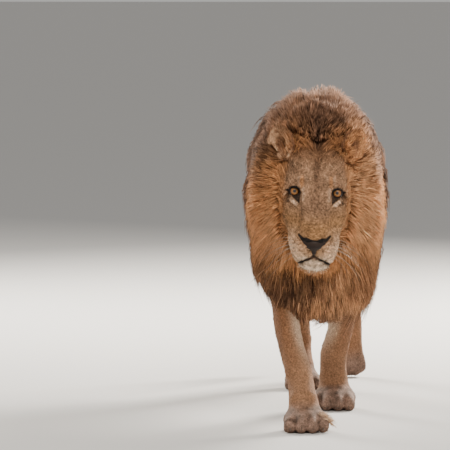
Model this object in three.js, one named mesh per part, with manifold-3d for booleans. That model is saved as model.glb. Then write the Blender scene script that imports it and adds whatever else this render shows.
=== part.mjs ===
// A life-size male lion in mid walk, as a museum shows one.
//
// Millimetres, +Z up, floor at z = 0. The lion faces -Y and its left side is +X. Stations below are
// measured from the tip of the leading toe (y = 0) and from the mid plane (x = 0), and the finished
// group is moved so that the origin is the bottom centre of the whole lion.
// Every outline is the outside of the coat, so the solids run out to the tips of the hair.

import * as THREE from 'three';
import { mergeVertices } from 'three/addons/utils/BufferGeometryUtils.js';
import Module from 'manifold-3d';

const wasm = await Module();
wasm.setup();

// ---------------------------------------------------------------- driving dimensions

const GAP = 0.5; // how much a neighbour is grown before it cuts a piece
const SCRAP = 2000; // loose chips of a cut below this volume are dropped, in mm^3
const FAR = 4000; // size of the block that stands for a half space

const WITHERS = 985; // top of the shoulders
const ELBOW = 470; // height of a standing elbow
const EYE_LINE = new THREE.Vector3(0, 100, 747); // middle between the eyes, the head's origin
const HEAD_PITCH = THREE.MathUtils.degToRad(33); // nose carried low
const HEAD_ROLL = THREE.MathUtils.degToRad(4.5); // left eye carried lower
const HEAD_YAW = THREE.MathUtils.degToRad(1.5); // a slight turn to the left

const EYE = { across: 67, back: 9, radius: 20 };
const EAR = { across: 116, back: 142, up: 92, wide: 47, tall: 62, deep: 30 };
const NOSE = { back: -160, up: -83, wide: 47, tall: 26 };
const FOREPAW = { wide: 148, long: 172, high: 66 };
const HINDPAW = { wide: 126, long: 160, high: 60 };
const CLAW = { thick: 5, long: 20, hook: -2.35 };

// Where the body is divided: a point on each cut and the way that the cut faces.
const NECK_CUT = { at: [0, 585, 950], normal: [0, 0.829, -0.56] };
const CHEST_CUT = { at: [0, 720, 0], normal: [0, 1, 0] };
const RIBS_CUT = { at: [0, 1010, 0], normal: [0, 1, 0] };
const LOIN_CUT = { at: [0, 1290, 0], normal: [0, 1, 0] };
const TAIL_CUT = { at: [0, 1950, 640], normal: [0, 0, -1] };
const MUZZLE_BACK = -62; // measured back from the eyes along the head
const SKULL_BACK = 150;
const SHOULDER_JOINT = { across: 62, up: 470, slope: 0.37 }; // the slanting cut of a foreleg's top
const HIP_JOINT = { across: 56, up: 600, slope: 0.43 };
const MANE_CREST_LEVEL = 862; // everything above is the crest
const MANE_BIB_LEVEL = 520; // everything below is the bib
const MANE_RUFF_BACK = 400; // the ruff round the face ends here and the shoulder mane begins
const TUFT_TOP = 350;

const COAT = '#b58c62';
const PALE = '#cdb69a';
const DARK_MANE = '#5b4031';
const OCHRE_MANE = '#a9743c';
const EAR_BACK = '#8d6a4a';
const NOSE_LEATHER = '#3a2a22';
const EYE_AMBER = '#8a5a24';

// ---------------------------------------------------------------- shapes

// Turns a closed geometry into a solid that can be joined and cut.
function solid(geometry) {
  const bare = geometry.clone();
  bare.deleteAttribute('normal');
  bare.deleteAttribute('uv');
  const merged = mergeVertices(bare, 1e-3);
  return new wasm.Manifold(new wasm.Mesh({
    numProp: 3,
    vertProperties: new Float32Array(merged.attributes.position.array),
    triVerts: new Uint32Array(merged.index.array),
  }));
}

// A station of a loft: a place, the half sizes of its oval section, how square the oval is (2 is
// an ellipse) and how much wider it is above the middle than below.
function station(x, y, z, across, deep, square = 2, egg = 0) {
  return { at: new THREE.Vector3(x, y, z), size: new THREE.Vector3(across, deep, square), egg };
}

// The smooth path through the stations' places.
function pathThrough(stations) {
  return new THREE.CatmullRomCurve3(stations.map((s) => s.at), false, 'catmullrom', 0.5);
}

// One ring of a loft for each station, square across the path.
function ringsAlong(stations, grow) {
  const path = pathThrough(stations);
  return stations.map(({ at, size, egg }, i) => ({
    at,
    along: path.getTangent(i / (stations.length - 1)),
    size: size.clone().add(new THREE.Vector3(grow, grow, 0)),
    egg,
  }));
}

// Rounded ends: each end gets rings that close in on a pole like half an ellipsoid.
function withEnds(rings, endLength) {
  const end = (ring, sign) => [0.5, 0.85].map((rise) => {
    const shrink = Math.sqrt(1 - rise * rise);
    const reach = Math.min(ring.size.x, ring.size.y) * endLength * rise * sign;
    return {
      ...ring,
      at: ring.at.clone().addScaledVector(ring.along, reach),
      size: new THREE.Vector3(ring.size.x * shrink, ring.size.y * shrink, ring.size.z),
    };
  });
  const first = rings[0];
  const last = rings[rings.length - 1];
  return [...end(first, -1).reverse(), ...rings, ...end(last, 1)];
}

// A closed body of oval sections along a smooth path. The section's width lies along X.
function loft(stations, { grow = 0, sides, endLength }) {
  const rings = withEnds(ringsAlong(stations, grow), endLength);
  const positions = [];
  for (const ring of rings) {
    const across = new THREE.Vector3(1, 0, 0).projectOnPlane(ring.along).normalize();
    const up = new THREE.Vector3().crossVectors(across, ring.along).normalize();
    for (let i = 0; i < sides; i += 1) {
      const angle = (2 * Math.PI * i) / sides;
      const c = Math.cos(angle);
      const s = Math.sin(angle);
      const power = 2 / ring.size.z;
      const wide = ring.size.x * Math.sign(c) * Math.abs(c) ** power * (1 + ring.egg * s);
      const tall = ring.size.y * Math.sign(s) * Math.abs(s) ** power;
      positions.push(...ring.at.clone().addScaledVector(across, wide).addScaledVector(up, tall));
    }
  }
  const poles = [[rings[0], -1], [rings[rings.length - 1], 1]].map(([ring, sign]) => {
    const reach = Math.min(ring.size.x, ring.size.y) * endLength * 0.25 + grow;
    return ring.at.clone().addScaledVector(ring.along, sign * reach);
  });
  poles.forEach((pole) => positions.push(...pole));
  return closeRings(positions, rings.length, sides);
}

// Faces of a stack of rings with a pole at each end; the poles are the last two points.
function closeRings(positions, ringCount, sides) {
  const faces = [];
  const point = (ring, i) => ring * sides + (i % sides);
  const startPole = ringCount * sides;
  for (let i = 0; i < sides; i += 1) {
    for (let ring = 0; ring < ringCount - 1; ring += 1) {
      faces.push(point(ring, i), point(ring + 1, i), point(ring + 1, i + 1));
      faces.push(point(ring, i), point(ring + 1, i + 1), point(ring, i + 1));
    }
    faces.push(startPole, point(0, i), point(0, i + 1));
    faces.push(startPole + 1, point(ringCount - 1, i + 1), point(ringCount - 1, i));
  }
  const geometry = new THREE.BufferGeometry();
  geometry.setAttribute('position', new THREE.Float32BufferAttribute(positions, 3));
  geometry.setIndex(faces);
  return solid(geometry);
}

function ellipsoid(at, radii, { grow = 0, turn = [0, 0, 0], sides = 14 } = {}) {
  const geometry = new THREE.SphereGeometry(1, sides, Math.round(sides * 0.6));
  geometry.scale(...radii.map((r) => r + grow));
  geometry.rotateX(turn[0]).rotateY(turn[1]).rotateZ(turn[2]);
  geometry.translate(...at);
  return solid(geometry);
}

const join = (...pieces) => pieces.flat(2).reduce((whole, piece) => whole.add(piece));
const cut = (whole, ...tools) => tools.flat(2).reduce((rest, tool) => rest.subtract(tool), whole);

// The half space on the far side of a plane, as one large block.
function beyond(point, normal, clearance = 0) {
  const block = new THREE.BoxGeometry(FAR, FAR, FAR);
  const direction = new THREE.Vector3(...normal).normalize();
  const turn = new THREE.Quaternion().setFromUnitVectors(new THREE.Vector3(0, 0, 1), direction);
  block.applyQuaternion(turn);
  const centre = new THREE.Vector3(...point).addScaledVector(direction, FAR / 2 + clearance);
  block.translate(...centre);
  return solid(block);
}

// Parts a solid by a thin cut and returns the side that the cut's normal leaves, then the other.
function part(whole, { at, normal }) {
  const back = normal.map((n) => -n);
  return [
    cut(whole, beyond(at, normal, -GAP / 3)),
    cut(whole, beyond(at, back, -GAP / 3)),
  ];
}

// ---------------------------------------------------------------- head, in its own frame

const headFrame = new THREE.Matrix4().compose(
  EYE_LINE,
  new THREE.Quaternion().setFromEuler(new THREE.Euler(HEAD_PITCH, HEAD_ROLL, HEAD_YAW, 'ZXY')),
  new THREE.Vector3(1, 1, 1),
);

const onHead = (piece) => piece.transform(headFrame.elements);
const bothSides = (make) => [-1, 1].map(make);

// From the bridge of the nose over the brow to the back of the skull.
function skull(grow) {
  const stations = [
    station(0, -144, -82, 46, 34, 2.4, 0.05),
    station(0, -112, -70, 51, 44, 2.5, 0.02),
    station(0, -76, -57, 56, 52, 2.4),
    station(0, -38, -45, 62, 60, 2.3),
    station(0, -6, -37, 79, 72, 2.3),
    station(0, 30, -32, 106, 88, 2.3),
    station(0, 76, -24, 117, 100, 2.3, 0.03),
    station(0, 130, -16, 114, 98, 2.2, 0.02),
    station(0, 200, -14, 98, 88, 2.1),
  ];
  return loft(stations, { grow, sides: 11, endLength: 0.5 });
}

function cheeks(grow) {
  return bothSides((s) => ellipsoid([s * 72, 26, -66], [42, 74, 54], { grow, sides: 7 }));
}

function brows(grow) {
  return bothSides((s) => ellipsoid(
    [s * 55, 8, 29],
    [37, 28, 18],
    { grow, turn: [0.3, s * 0.3, 0], sides: 6 },
  ));
}

function whiskerPads(grow) {
  return bothSides((s) => ellipsoid(
    [s * 37, -112, -100],
    [42, 52, 41],
    { grow, turn: [0.1, 0, s * -0.12], sides: 8 },
  ));
}

function lowerJaw(grow) {
  const stations = [
    station(0, -122, -162, 46, 40, 2.4),
    station(0, -90, -156, 52, 40, 2.3),
    station(0, -34, -138, 64, 42, 2.3),
    station(0, 30, -116, 78, 46, 2.3),
    station(0, 90, -96, 76, 48, 2.2),
  ];
  return loft(stations, { grow, sides: 8, endLength: 0.6 });
}

function noseLeather(grow) {
  const wings = bothSides((s) => ellipsoid(
    [s * 22, NOSE.back + 8, NOSE.up + 5],
    [NOSE.wide - 22, 16, NOSE.tall - 8],
    { grow, turn: [0.2, s * -0.5, 0], sides: 6 },
  ));
  const middle = ellipsoid(
    [0, NOSE.back + 2, NOSE.up - 4],
    [22, 16, NOSE.tall],
    { grow, turn: [0.35, 0, 0], sides: 6 },
  );
  return join(middle, wings);
}

function eyeball(side, grow) {
  return ellipsoid([side * EYE.across, EYE.back, 0], Array(3).fill(EYE.radius), { grow, sides: 8 });
}

// The space before each eye that the lids leave open.
function eyeOpening(side) {
  const at = [side * (EYE.across + 1), EYE.back - 24, 1];
  return ellipsoid(at, [21, 22, 15], { turn: [0, side * 0.12, side * 0.35], sides: 6 });
}

// A round cupped ear: a thick shell, hollow toward the front.
function ear(side, grow) {
  const at = [side * EAR.across, EAR.back, EAR.up];
  const turn = [-0.25, side * 0.42, side * 0.5];
  const shell = ellipsoid(at, [EAR.wide, EAR.deep, EAR.tall], { grow, turn, sides: 8 });
  const hollowAt = [at[0] + side * 12, at[1] - 26, at[2] + 4];
  const hollow = ellipsoid(hollowAt, [EAR.wide - 9, EAR.deep, EAR.tall - 10], { turn, sides: 7 });
  return grow > 0 ? shell : cut(shell, hollow);
}

const headShape = (grow) => join(skull(grow), cheeks(grow), brows(grow), whiskerPads(grow));

// ---------------------------------------------------------------- trunk, neck and tail

function trunk(grow) {
  const stations = [
    station(0, 430, 640, 110, 130, 2.1),
    station(0, 500, 675, 158, 215, 2.2),
    station(0, 620, 720, 190, WITHERS - 720, 2.3, -0.04),
    station(0, 800, 714, 202, 252, 2.3, -0.04),
    station(0, 1000, 704, 202, 234, 2.3, -0.03),
    station(0, 1180, 708, 188, 220, 2.3),
    station(0, 1340, 728, 165, 202, 2.3),
    station(0, 1500, 764, 158, 178, 2.3, 0.02),
    station(0, 1640, 782, 156, 156, 2.3),
    station(0, 1750, 784, 132, 128, 2.2),
    station(0, 1812, 778, 94, 98, 2.1),
  ];
  return loft(stations, { grow, sides: 12, endLength: 0.5 });
}

function neck(grow) {
  const stations = [
    station(0, 300, 780, 106, 118),
    station(0, 400, 775, 128, 150),
    station(0, 510, 758, 118, 140),
  ];
  return loft(stations, { grow, sides: 9, endLength: 0.6 });
}

const tailStations = [
  station(0, 1780, 835, 36, 42),
  station(-4, 1872, 812, 27, 29),
  station(-14, 1948, 732, 24, 24),
  station(-26, 1984, 610, 22, 22),
  station(-36, 1978, 480, 20, 20),
  station(-41, 1942, 345, 19, 19),
];

const tail = (grow) => loft(tailStations, { grow, sides: 6, endLength: 0.6 });

function tailTuft() {
  const stations = [
    station(-41, 1942, 345, 22, 22),
    station(-43, 1926, 295, 37, 37),
    station(-44, 1922, 235, 34, 34),
    station(-44, 1930, 188, 14, 14),
  ];
  return loft(stations, { sides: 8, endLength: 1.2 });
}

// ---------------------------------------------------------------- legs

// Each leg is one loft from the trunk to the foot. Half sizes are across the leg and fore and aft.
const forelegRight = [
  station(-92, 650, 880, 50, 76),
  station(-114, 548, 730, 58, 92),
  station(-118, 452, 590, 55, 96),
  station(-112, 438, ELBOW, 48, 90),
  station(-102, 362, 365, 44, 74),
  station(-80, 274, 262, 42, 59),
  station(-57, 207, 190, 47, 52),
  station(-43, 162, 128, 49, 48),
  station(-35, 128, 72, 54, 46),
];

const forelegLeft = [
  station(92, 650, 880, 50, 78),
  station(115, 560, 730, 58, 100),
  station(119, 575, 600, 55, 100),
  station(113, 620, ELBOW + 10, 49, 88),
  station(101, 690, 365, 45, 71),
  station(76, 748, 250, 44, 57),
  station(57, 783, 168, 50, 51),
  station(56, 796, 104, 44, 46),
  station(60, 782, 62, 52, 45),
];

const hindlegRight = [
  station(-76, 1600, 868, 46, 90),
  station(-102, 1603, 740, 86, 198, 2.2),
  station(-116, 1522, 645, 80, 178, 2.2),
  station(-124, 1425, 530, 62, 132),
  station(-99, 1448, 425, 48, 86),
  station(-68, 1502, 322, 40, 57),
  station(-52, 1490, 240, 37, 42),
  station(-47, 1458, 150, 40, 37),
  station(-45, 1425, 78, 48, 44),
];

const hindlegLeft = [
  station(76, 1605, 868, 46, 90),
  station(102, 1622, 740, 86, 203, 2.2),
  station(120, 1588, 652, 79, 172, 2.2),
  station(131, 1556, 520, 60, 146),
  station(131, 1622, 430, 48, 92),
  station(124, 1716, 360, 40, 60),
  station(120, 1752, 285, 37, 44),
  station(118, 1762, 205, 40, 37),
  station(118, 1760, 140, 50, 40),
];

const toePlaces = [-1.5, -0.5, 0.5, 1.5]; // across the paw, in toe widths from its middle
const isOuter = (place) => Math.abs(place) > 1;

const leg = (stations, grow) => loft(stations, { grow, sides: 8, endLength: 0.8 });

// A broad cat's paw, its four toes forward (-Y) and its sole at z = 0 before the floor trims it.
function paw(size) {
  const instep = ellipsoid(
    [0, 18, size.high * 0.56],
    [size.wide * 0.41, size.long * 0.36, size.high * 0.62],
    { sides: 8 },
  );
  const toes = toePlaces.map((place) => ellipsoid(
    [place * size.wide * 0.222, size.long * (isOuter(place) ? -0.2 : -0.29), size.high * 0.4],
    [size.wide * 0.14, size.long * 0.23, size.high * 0.46],
    { turn: [0.12, 0, place * 0.1], sides: 6 },
  ));
  return join(instep, toes);
}

// The claws of a forepaw: short hooks at the front of each toe. A hind paw keeps its own sheathed.
function claws(size) {
  return toePlaces.map((place) => {
    const hook = new THREE.ConeGeometry(CLAW.thick, CLAW.long, 3);
    hook.rotateX(CLAW.hook);
    const front = size.long * (isOuter(place) ? -0.425 : -0.515);
    hook.translate(place * size.wide * 0.222, front, size.high * 0.2);
    return solid(hook);
  });
}

function placedPaw({ size, at, turn }) {
  const frame = new THREE.Matrix4().makeRotationFromEuler(new THREE.Euler(...turn)).setPosition(...at);
  const clawed = size === FOREPAW ? join(paw(size), claws(size)) : paw(size);
  return clawed.transform(frame.elements);
}

const REACH = 0.52; // from a paw's middle to its toe tips, in paw lengths
const KNEE_CUT = [0, -0.35, -1]; // the thigh's lower edge drops toward the back
const LEVEL_CUT = [0, 0, -1];
const legs = [
  {
    name: 'foreleg_right', stations: forelegRight, size: FOREPAW,
    at: [-34, REACH * FOREPAW.long, 0], turn: [0, 0, 0.06],
    joints: [
      { word: 'upper', index: 3 },
      { word: 'forearm', index: 6 },
      { word: 'pastern', index: 8 },
    ],
  },
  {
    name: 'foreleg_left', stations: forelegLeft, size: FOREPAW,
    at: [63, 752, 0], turn: [0, 0, -0.08],
    joints: [
      { word: 'upper', index: 3.25, normal: LEVEL_CUT },
      { word: 'forearm', index: 6 },
      { word: 'pastern', index: 8 },
    ],
  },
  {
    name: 'hindleg_right', stations: hindlegRight, size: HINDPAW,
    at: [-45, 1378, 0], turn: [0, 0, 0.05],
    joints: [
      { word: 'thigh', index: 3.45, normal: KNEE_CUT },
      { word: 'shank', index: 5 },
      { word: 'hock', index: 8 },
    ],
  },
  {
    name: 'hindleg_left', stations: hindlegLeft, size: HINDPAW,
    at: [119, 1786, 74], turn: [1.46, 0, 0.03],
    joints: [
      { word: 'thigh', index: 3, normal: KNEE_CUT },
      { word: 'shank', index: 5 },
      { word: 'hock', index: 8 },
    ],
  },
];

// ---------------------------------------------------------------- mane

// The mane's outer shape: a tall egg round the face that runs back over neck and shoulders.
function maneForm() {
  const stations = [
    station(0, 182, 690, 152, 184, 2.1),
    station(0, 236, 702, 202, 296, 2.2, 0.02),
    station(0, 300, 700, 219, 348, 2.2, 0.02),
    station(0, 390, 692, 223, 370, 2.25),
    station(0, 490, 696, 223, 362, 2.25),
    station(0, 610, 718, 230, 322, 2.3),
    station(0, 740, 724, 230, 300, 2.3),
    station(0, 850, 718, 217, 282, 2.3),
  ];
  const forelock = ellipsoid([0, 246, 918], [132, 92, 116], { sides: 8 });
  return join(loft(stations, { sides: 14, endLength: 0.3 }), forelock);
}

// ---------------------------------------------------------------- scene graph

const lion = new THREE.Group();

function material(colour, roughness = 0.9) {
  return new THREE.MeshStandardMaterial({ color: colour, roughness, metalness: 0, flatShading: true });
}

// Keeps the main body of a cut piece and adds it as a mesh placed at its own centre.
function addNode(name, whole, look) {
  const bodies = whole.decompose().filter((body) => body.volume() > SCRAP);
  if (bodies.length !== 1) throw new Error(`${name} came apart in ${bodies.length} pieces`);
  const mesh = bodies[0].getMesh();
  const geometry = new THREE.BufferGeometry();
  geometry.setAttribute('position', new THREE.Float32BufferAttribute(mesh.vertProperties, 3));
  geometry.setIndex(new THREE.Uint32BufferAttribute(mesh.triVerts, 1));
  geometry.computeVertexNormals();
  geometry.computeBoundingBox();
  const centre = geometry.boundingBox.getCenter(new THREE.Vector3());
  geometry.translate(-centre.x, -centre.y, -centre.z);
  const node = new THREE.Mesh(geometry, look);
  node.name = name;
  node.position.copy(centre);
  lion.add(node);
}

const belowFloor = beyond([0, 0, 0], [0, 0, -1]);
const coat = material(COAT);
const sideWords = [[-1, 'right'], [1, 'left']];

// Head, neck and trunk in one, so that they part by plain cuts with no walls inside.
const spine = (grow, head) => join(trunk(grow), neck(grow), onHead(head(grow)));

// A cut square across the head, this far behind the eyes.
function acrossHead(back) {
  const point = new THREE.Vector3(0, back, 0).applyMatrix4(headFrame);
  const normal = new THREE.Vector3(0, 1, 0).transformDirection(headFrame);
  return { at: [...point], normal: [...normal] };
}

function addHeadAndNeck(front) {
  const sockets = bothSides((s) => [eyeball(s, GAP), eyeOpening(s)]).flat();
  const fittings = [...sockets, noseLeather(GAP), lowerJaw(GAP)].map(onHead);
  const [head, rest] = part(cut(front, fittings), acrossHead(SKULL_BACK));
  const [muzzle, face] = part(head, acrossHead(MUZZLE_BACK));
  addNode('neck', rest, coat);
  addNode('head', face, coat);
  addNode('muzzle', muzzle, material(PALE));
  addNode('jaw', onHead(lowerJaw(0)), material(PALE));
  addNode('nose', onHead(noseLeather(0)), material(NOSE_LEATHER, 0.5));
  for (const [side, word] of sideWords) {
    addNode(`eye_${word}`, onHead(eyeball(side, 0)), material(EYE_AMBER, 0.1));
    addNode(`ear_${word}`, onHead(cut(ear(side, 0), headShape(GAP))), material(EAR_BACK));
  }
}

// Parts a leg at its joints from the top down, square across its path where the joint names no other
// normal, and returns the uppermost piece; what is left at the end is the paw.
function addLegBelow(limb) {
  const path = pathThrough(limb.stations);
  let rest = cut(join(leg(limb.stations, 0), placedPaw(limb)), belowFloor);
  const pieces = [];
  for (const { index, normal } of limb.joints) {
    const share = index / (limb.stations.length - 1);
    const square = [...path.getTangent(share)];
    const [upper, lower] = part(rest, { at: [...path.getPoint(share)], normal: normal ?? square });
    pieces.push(upper);
    rest = lower;
  }
  const lowerJoints = limb.joints.slice(1);
  lowerJoints.forEach(({ word }, i) => addNode(`${limb.name}_${word}`, pieces[i + 1], coat));
  addNode(`${limb.name}_paw`, rest, coat);
  return pieces[0];
}

// Joins two upper legs to a block of the trunk, trims them flush with the block's front cut and
// parts them again by slanting cuts.
function addGirdle(block, blockName, limbs, { frontCut, joint }) {
  let [, whole] = part(join(block, limbs.map(addLegBelow)), frontCut);
  for (const limb of limbs) {
    const side = limb.name.endsWith('left') ? 1 : -1;
    const slant = { at: [side * joint.across, 0, joint.up], normal: [side, 0, -joint.slope] };
    const [middle, upper] = part(whole, slant);
    addNode(`${limb.name}_${limb.joints[0].word}`, upper, coat);
    whole = middle;
  }
  addNode(blockName, whole, coat);
}

function addFlesh() {
  const body = cut(spine(0, headShape), tail(GAP));
  const [headAndNeck, shoulders] = part(body, NECK_CUT);
  const [chest, behindChest] = part(shoulders, CHEST_CUT);
  const [ribs, loin] = part(behindChest, RIBS_CUT);
  const [belly, rump] = part(loin, LOIN_CUT);
  addHeadAndNeck(headAndNeck);
  addNode('ribs', ribs, coat);
  addNode('belly', belly, coat);
  addGirdle(chest, 'chest', legs.slice(0, 2), { frontCut: NECK_CUT, joint: SHOULDER_JOINT });
  addGirdle(rump, 'rump', legs.slice(2), { frontCut: LOIN_CUT, joint: HIP_JOINT });
}

function addTail() {
  const [root, end] = part(tail(0), TAIL_CUT);
  const tuftBase = [0, 0, TUFT_TOP];
  addNode('tail_root', root, coat);
  addNode('tail_end', cut(end, beyond(tuftBase, [0, 0, -1])), coat);
  addNode('tail_tuft', cut(tailTuft(), beyond(tuftBase, [0, 0, 1], -GAP)), material(DARK_MANE));
}

function addMane() {
  const underMane = (grow) => join(skull(grow), cheeks(grow));
  const flesh = join(
    spine(GAP, underMane),
    onHead(lowerJaw(GAP)),
    bothSides((s) => onHead(ear(s, GAP))),
    legs.slice(0, 2).map((limb) => leg(limb.stations, GAP)),
  );
  const whole = cut(maneForm(), flesh);
  const [sides, crest] = part(whole, { at: [0, 0, MANE_CREST_LEVEL], normal: [0, 0, 1] });
  addNode('mane_crest', crest, material(DARK_MANE));
  const [upperSides, bib] = part(sides, { at: [0, 0, MANE_BIB_LEVEL], normal: [0, 0, -1] });
  addNode('mane_bib', bib, material(DARK_MANE));
  const [front, back] = part(upperSides, { at: [0, MANE_RUFF_BACK, 0], normal: [0, 1, 0] });
  const halves = [['ruff', front, OCHRE_MANE], ['shoulder', back, DARK_MANE]];
  for (const [word, piece, colour] of halves) {
    const [left, right] = part(piece, { at: [0, 0, 0], normal: [-1, 0, 0] });
    addNode(`mane_${word}_left`, left, material(colour));
    addNode(`mane_${word}_right`, right, material(colour));
  }
}

addFlesh();
addTail();
addMane();

// The origin is the bottom centre of the lion, on the floor.
const box = new THREE.Box3().setFromObject(lion);
const middle = box.getCenter(new THREE.Vector3());
lion.position.set(-middle.x, -middle.y, 0);

export default lion;
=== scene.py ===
"""A life-size male lion in mid walk, over its CAD frame: skin, eyes, nose, claws, mane and coat.

Metres, +Z up, floor at z = 0; the lion faces -Y and its left side is +X. The head is sculpted in
its own frame, in millimetres: x across (+ left), y back from the eyes, z up, before it is pitched.
"""

import math

import bmesh
import bpy
import numpy as np
from mathutils import Euler, Matrix, Vector
from mathutils.bvhtree import BVHTree
from mathutils.kdtree import KDTree


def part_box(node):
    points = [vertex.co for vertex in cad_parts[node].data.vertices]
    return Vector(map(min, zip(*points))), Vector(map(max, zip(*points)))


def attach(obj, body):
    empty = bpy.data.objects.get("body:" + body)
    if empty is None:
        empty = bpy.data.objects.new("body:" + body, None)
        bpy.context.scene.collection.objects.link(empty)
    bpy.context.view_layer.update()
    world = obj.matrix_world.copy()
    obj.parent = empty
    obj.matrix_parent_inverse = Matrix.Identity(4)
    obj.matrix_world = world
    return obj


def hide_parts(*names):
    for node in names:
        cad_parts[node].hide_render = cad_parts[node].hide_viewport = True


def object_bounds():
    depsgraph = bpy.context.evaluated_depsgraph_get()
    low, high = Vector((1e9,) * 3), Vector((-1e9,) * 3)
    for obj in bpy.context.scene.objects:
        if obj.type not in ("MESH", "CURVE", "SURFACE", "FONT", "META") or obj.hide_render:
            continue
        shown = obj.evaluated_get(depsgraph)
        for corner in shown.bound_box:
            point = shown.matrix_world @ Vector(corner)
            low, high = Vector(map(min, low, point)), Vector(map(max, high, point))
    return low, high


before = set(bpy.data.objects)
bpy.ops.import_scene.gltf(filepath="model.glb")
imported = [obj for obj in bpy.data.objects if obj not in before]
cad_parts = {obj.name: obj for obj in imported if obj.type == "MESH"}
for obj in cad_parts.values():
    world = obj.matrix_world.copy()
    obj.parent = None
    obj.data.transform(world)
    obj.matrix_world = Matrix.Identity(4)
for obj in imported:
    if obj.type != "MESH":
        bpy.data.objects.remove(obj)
CAD_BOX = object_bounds()

# -------------------- driving sizes and colours

MM = 0.001
SKIN_VOXEL, MANE_VOXEL = 0.0105, 0.014  # the grain at which bodies are joined into one form
HEAD_PITCH, HEAD_ROLL = math.radians(33), math.radians(3.4)
CHIN_LEAN = 5.0  # the chin lies this far to the lion's left of the head's upright
SEEN_PITCH = HEAD_PITCH + math.radians(4.5)  # a person who meets the lion looks down on it
EYE_ACROSS, EYE_BACK, EYE_RADIUS = 67.0, 9.0, 19.5  # millimetres in the head's frame
CAMERA_AWAY, CAMERA_UP, CAMERA_LENS = 20.0, math.radians(4.5), 512.0
AIM = (-0.284, 0.657)  # where the camera looks: across and up, on the plane of the leading toes
FLOOR_HALF = 30.0  # half the floor's side

LEGS = {
    "foreleg_right": ("upper", "forearm", "pastern", "paw"),
    "foreleg_left": ("upper", "forearm", "pastern", "paw"),
    "hindleg_right": ("thigh", "shank", "hock", "paw"),
    "hindleg_left": ("thigh", "shank", "hock", "paw"),
}
LEG_NODES = [f"{leg}_{word}" for leg, words in LEGS.items() for word in words]
EAR_NODES = ["ear_right", "ear_left"]
TRUNK_NODES = ["neck", "chest", "ribs", "belly", "rump"]
FLESH = ["head", "muzzle", "jaw", *EAR_NODES, *TRUNK_NODES, "tail_root", "tail_end", *LEG_NODES]
MANE = ["mane_crest", "mane_bib", "mane_ruff_left", "mane_ruff_right",
        "mane_shoulder_left", "mane_shoulder_right"]

# Linear colours of the coat, the eyes, the nose and the claws.
TAN = np.array([0.285, 0.132, 0.064])
TAWNY = np.array([0.275, 0.142, 0.058])
TAN_DARK = np.array([0.145, 0.066, 0.032])
PALE = np.array([0.66, 0.45, 0.30])
GREY_BROWN = np.array([0.30, 0.17, 0.098])
OCHRE = np.array([0.52, 0.235, 0.096])
GOLD = np.array([0.80, 0.385, 0.165])
DARK = np.array([0.14, 0.074, 0.046])
RUSSET = np.array([0.30, 0.15, 0.078])
BLACK = np.array([0.012, 0.009, 0.008])
WHITE = np.array([0.82, 0.66, 0.5])
PAW_GREY = np.array([0.215, 0.140, 0.108])
FACE_DARK = np.array([0.125, 0.066, 0.038])
# Painted light: a paler brown for the top of the mane's crown, as if lit from behind.
CROWN_LIGHT_BROWN = np.array([0.34, 0.19, 0.11])
# PUPIL: near black with a blue-grey cast, a painted reflection on the pupil.
PUPIL = np.array([0.030, 0.034, 0.042])
IRIS, IRIS_EDGE = np.array([0.33, 0.155, 0.052]), np.array([0.24, 0.092, 0.028])
EYE_DARK = np.array([0.016, 0.010, 0.008])
# The second colour is a painted sheen: the top of the nose lighter, as if lit from above.
LEATHER, LEATHER_SHEEN = np.array([0.018, 0.011, 0.009]), np.array([0.034, 0.021, 0.016])
# Painted shade: near black inside the nostrils' slits.
NOSTRIL_SHADE = np.array([0.004, 0.003, 0.003])
CLAW = np.array([0.12, 0.085, 0.065])
WHISKER = np.array([0.50, 0.41, 0.31])

FUR_STOPS, FUR_TAPER = (0, 0.5, 1), (1, 0.7)  # stops along a short tuft, and its width at them
LOCK_STOPS, LOCK_TAPER = (0, 0.58, 1), (0.85, 1.0)  # the same for longer hair
MOST_LOCKS = 19500  # locks in one piece, to keep it under 200,000 triangles
MANE_CLUMPS, CLUMP_LOCKS, MANE_SEED = 5000, 16, 41
WHISKER_SEED = 61

# How many tufts each piece of fur or hair has, and the seed of its random draws.
TUFTS = {
    "fur_face": (17000, 71),
    "fur_legs": (12000, 72),
    "fur_trunk": (10000, 73),
    "hair_head": (15000, 81),
    "hair_fringe": (9000, 82),
    "hair_tail": (3400, 84),
    "hair_wrist": (170, 86),
}

# Width, lift, spread of shades and share of dark tufts of the short fur.
FUR_LOOKS = {
    "fur_face": (0.0014, 0.30, 0.55, 0.22),
    "fur_legs": (0.0020, 0.22, 0.36, 0.14),
    "fur_trunk": (0.0030, 0.16, 0.22, 0.0),
}

# Roughness, specular, grain (scale, darkest, lightest, detail) and bump (scale, detail, distance,
# strength) of each material.
MATERIALS = {
    "short_fur_skin": (0.78, 0.16, (190, 0.55, 1.35, 4), (420, 6, 0.003, 0.8)),
    "short_fur": (0.78, 0.06, (300, 0.82, 1.18, 2), None),
    "mane_hair": (0.78, 0.06, (300, 0.82, 1.18, 2), None),
    "eye": (0.14, 0.22, (1500, 0.8, 1.2, 4), None),
    "nose_leather": (0.50, 0.18, (900, 0.75, 1.25, 4), (700, 3, 0.0012, 0.5)),
    "claw_horn": (0.35, 0.5, (260, 0.8, 1.15, 4), None),
    "whisker_hair": (0.5, 0.5, (260, 0.8, 1.15, 4), None),
}

# -------------------- numbers and noise


def unit(v):
    """Vectors at length 1."""
    return v / np.maximum(np.linalg.norm(v, axis=-1, keepdims=True), 1e-9)


def laid(v, normals):
    """Directions laid flat on a surface."""
    return unit(v - (v * normals).sum(1, keepdims=True) * normals)


def ramp(low, high, x):
    """0 below low, 1 above high and smooth between."""
    t = np.clip((x - low) / (high - low), 0, 1)
    return t * t * (3 - 2 * t)


def mix(a, b, t):
    """a at t = 0 and b at t = 1."""
    return a + (b - a) * t


def capped(tone, most=0.85):
    """Colours no brighter than most, with their hue kept."""
    return tone * np.minimum(1, most / tone.max(axis=1, keepdims=True))


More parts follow.
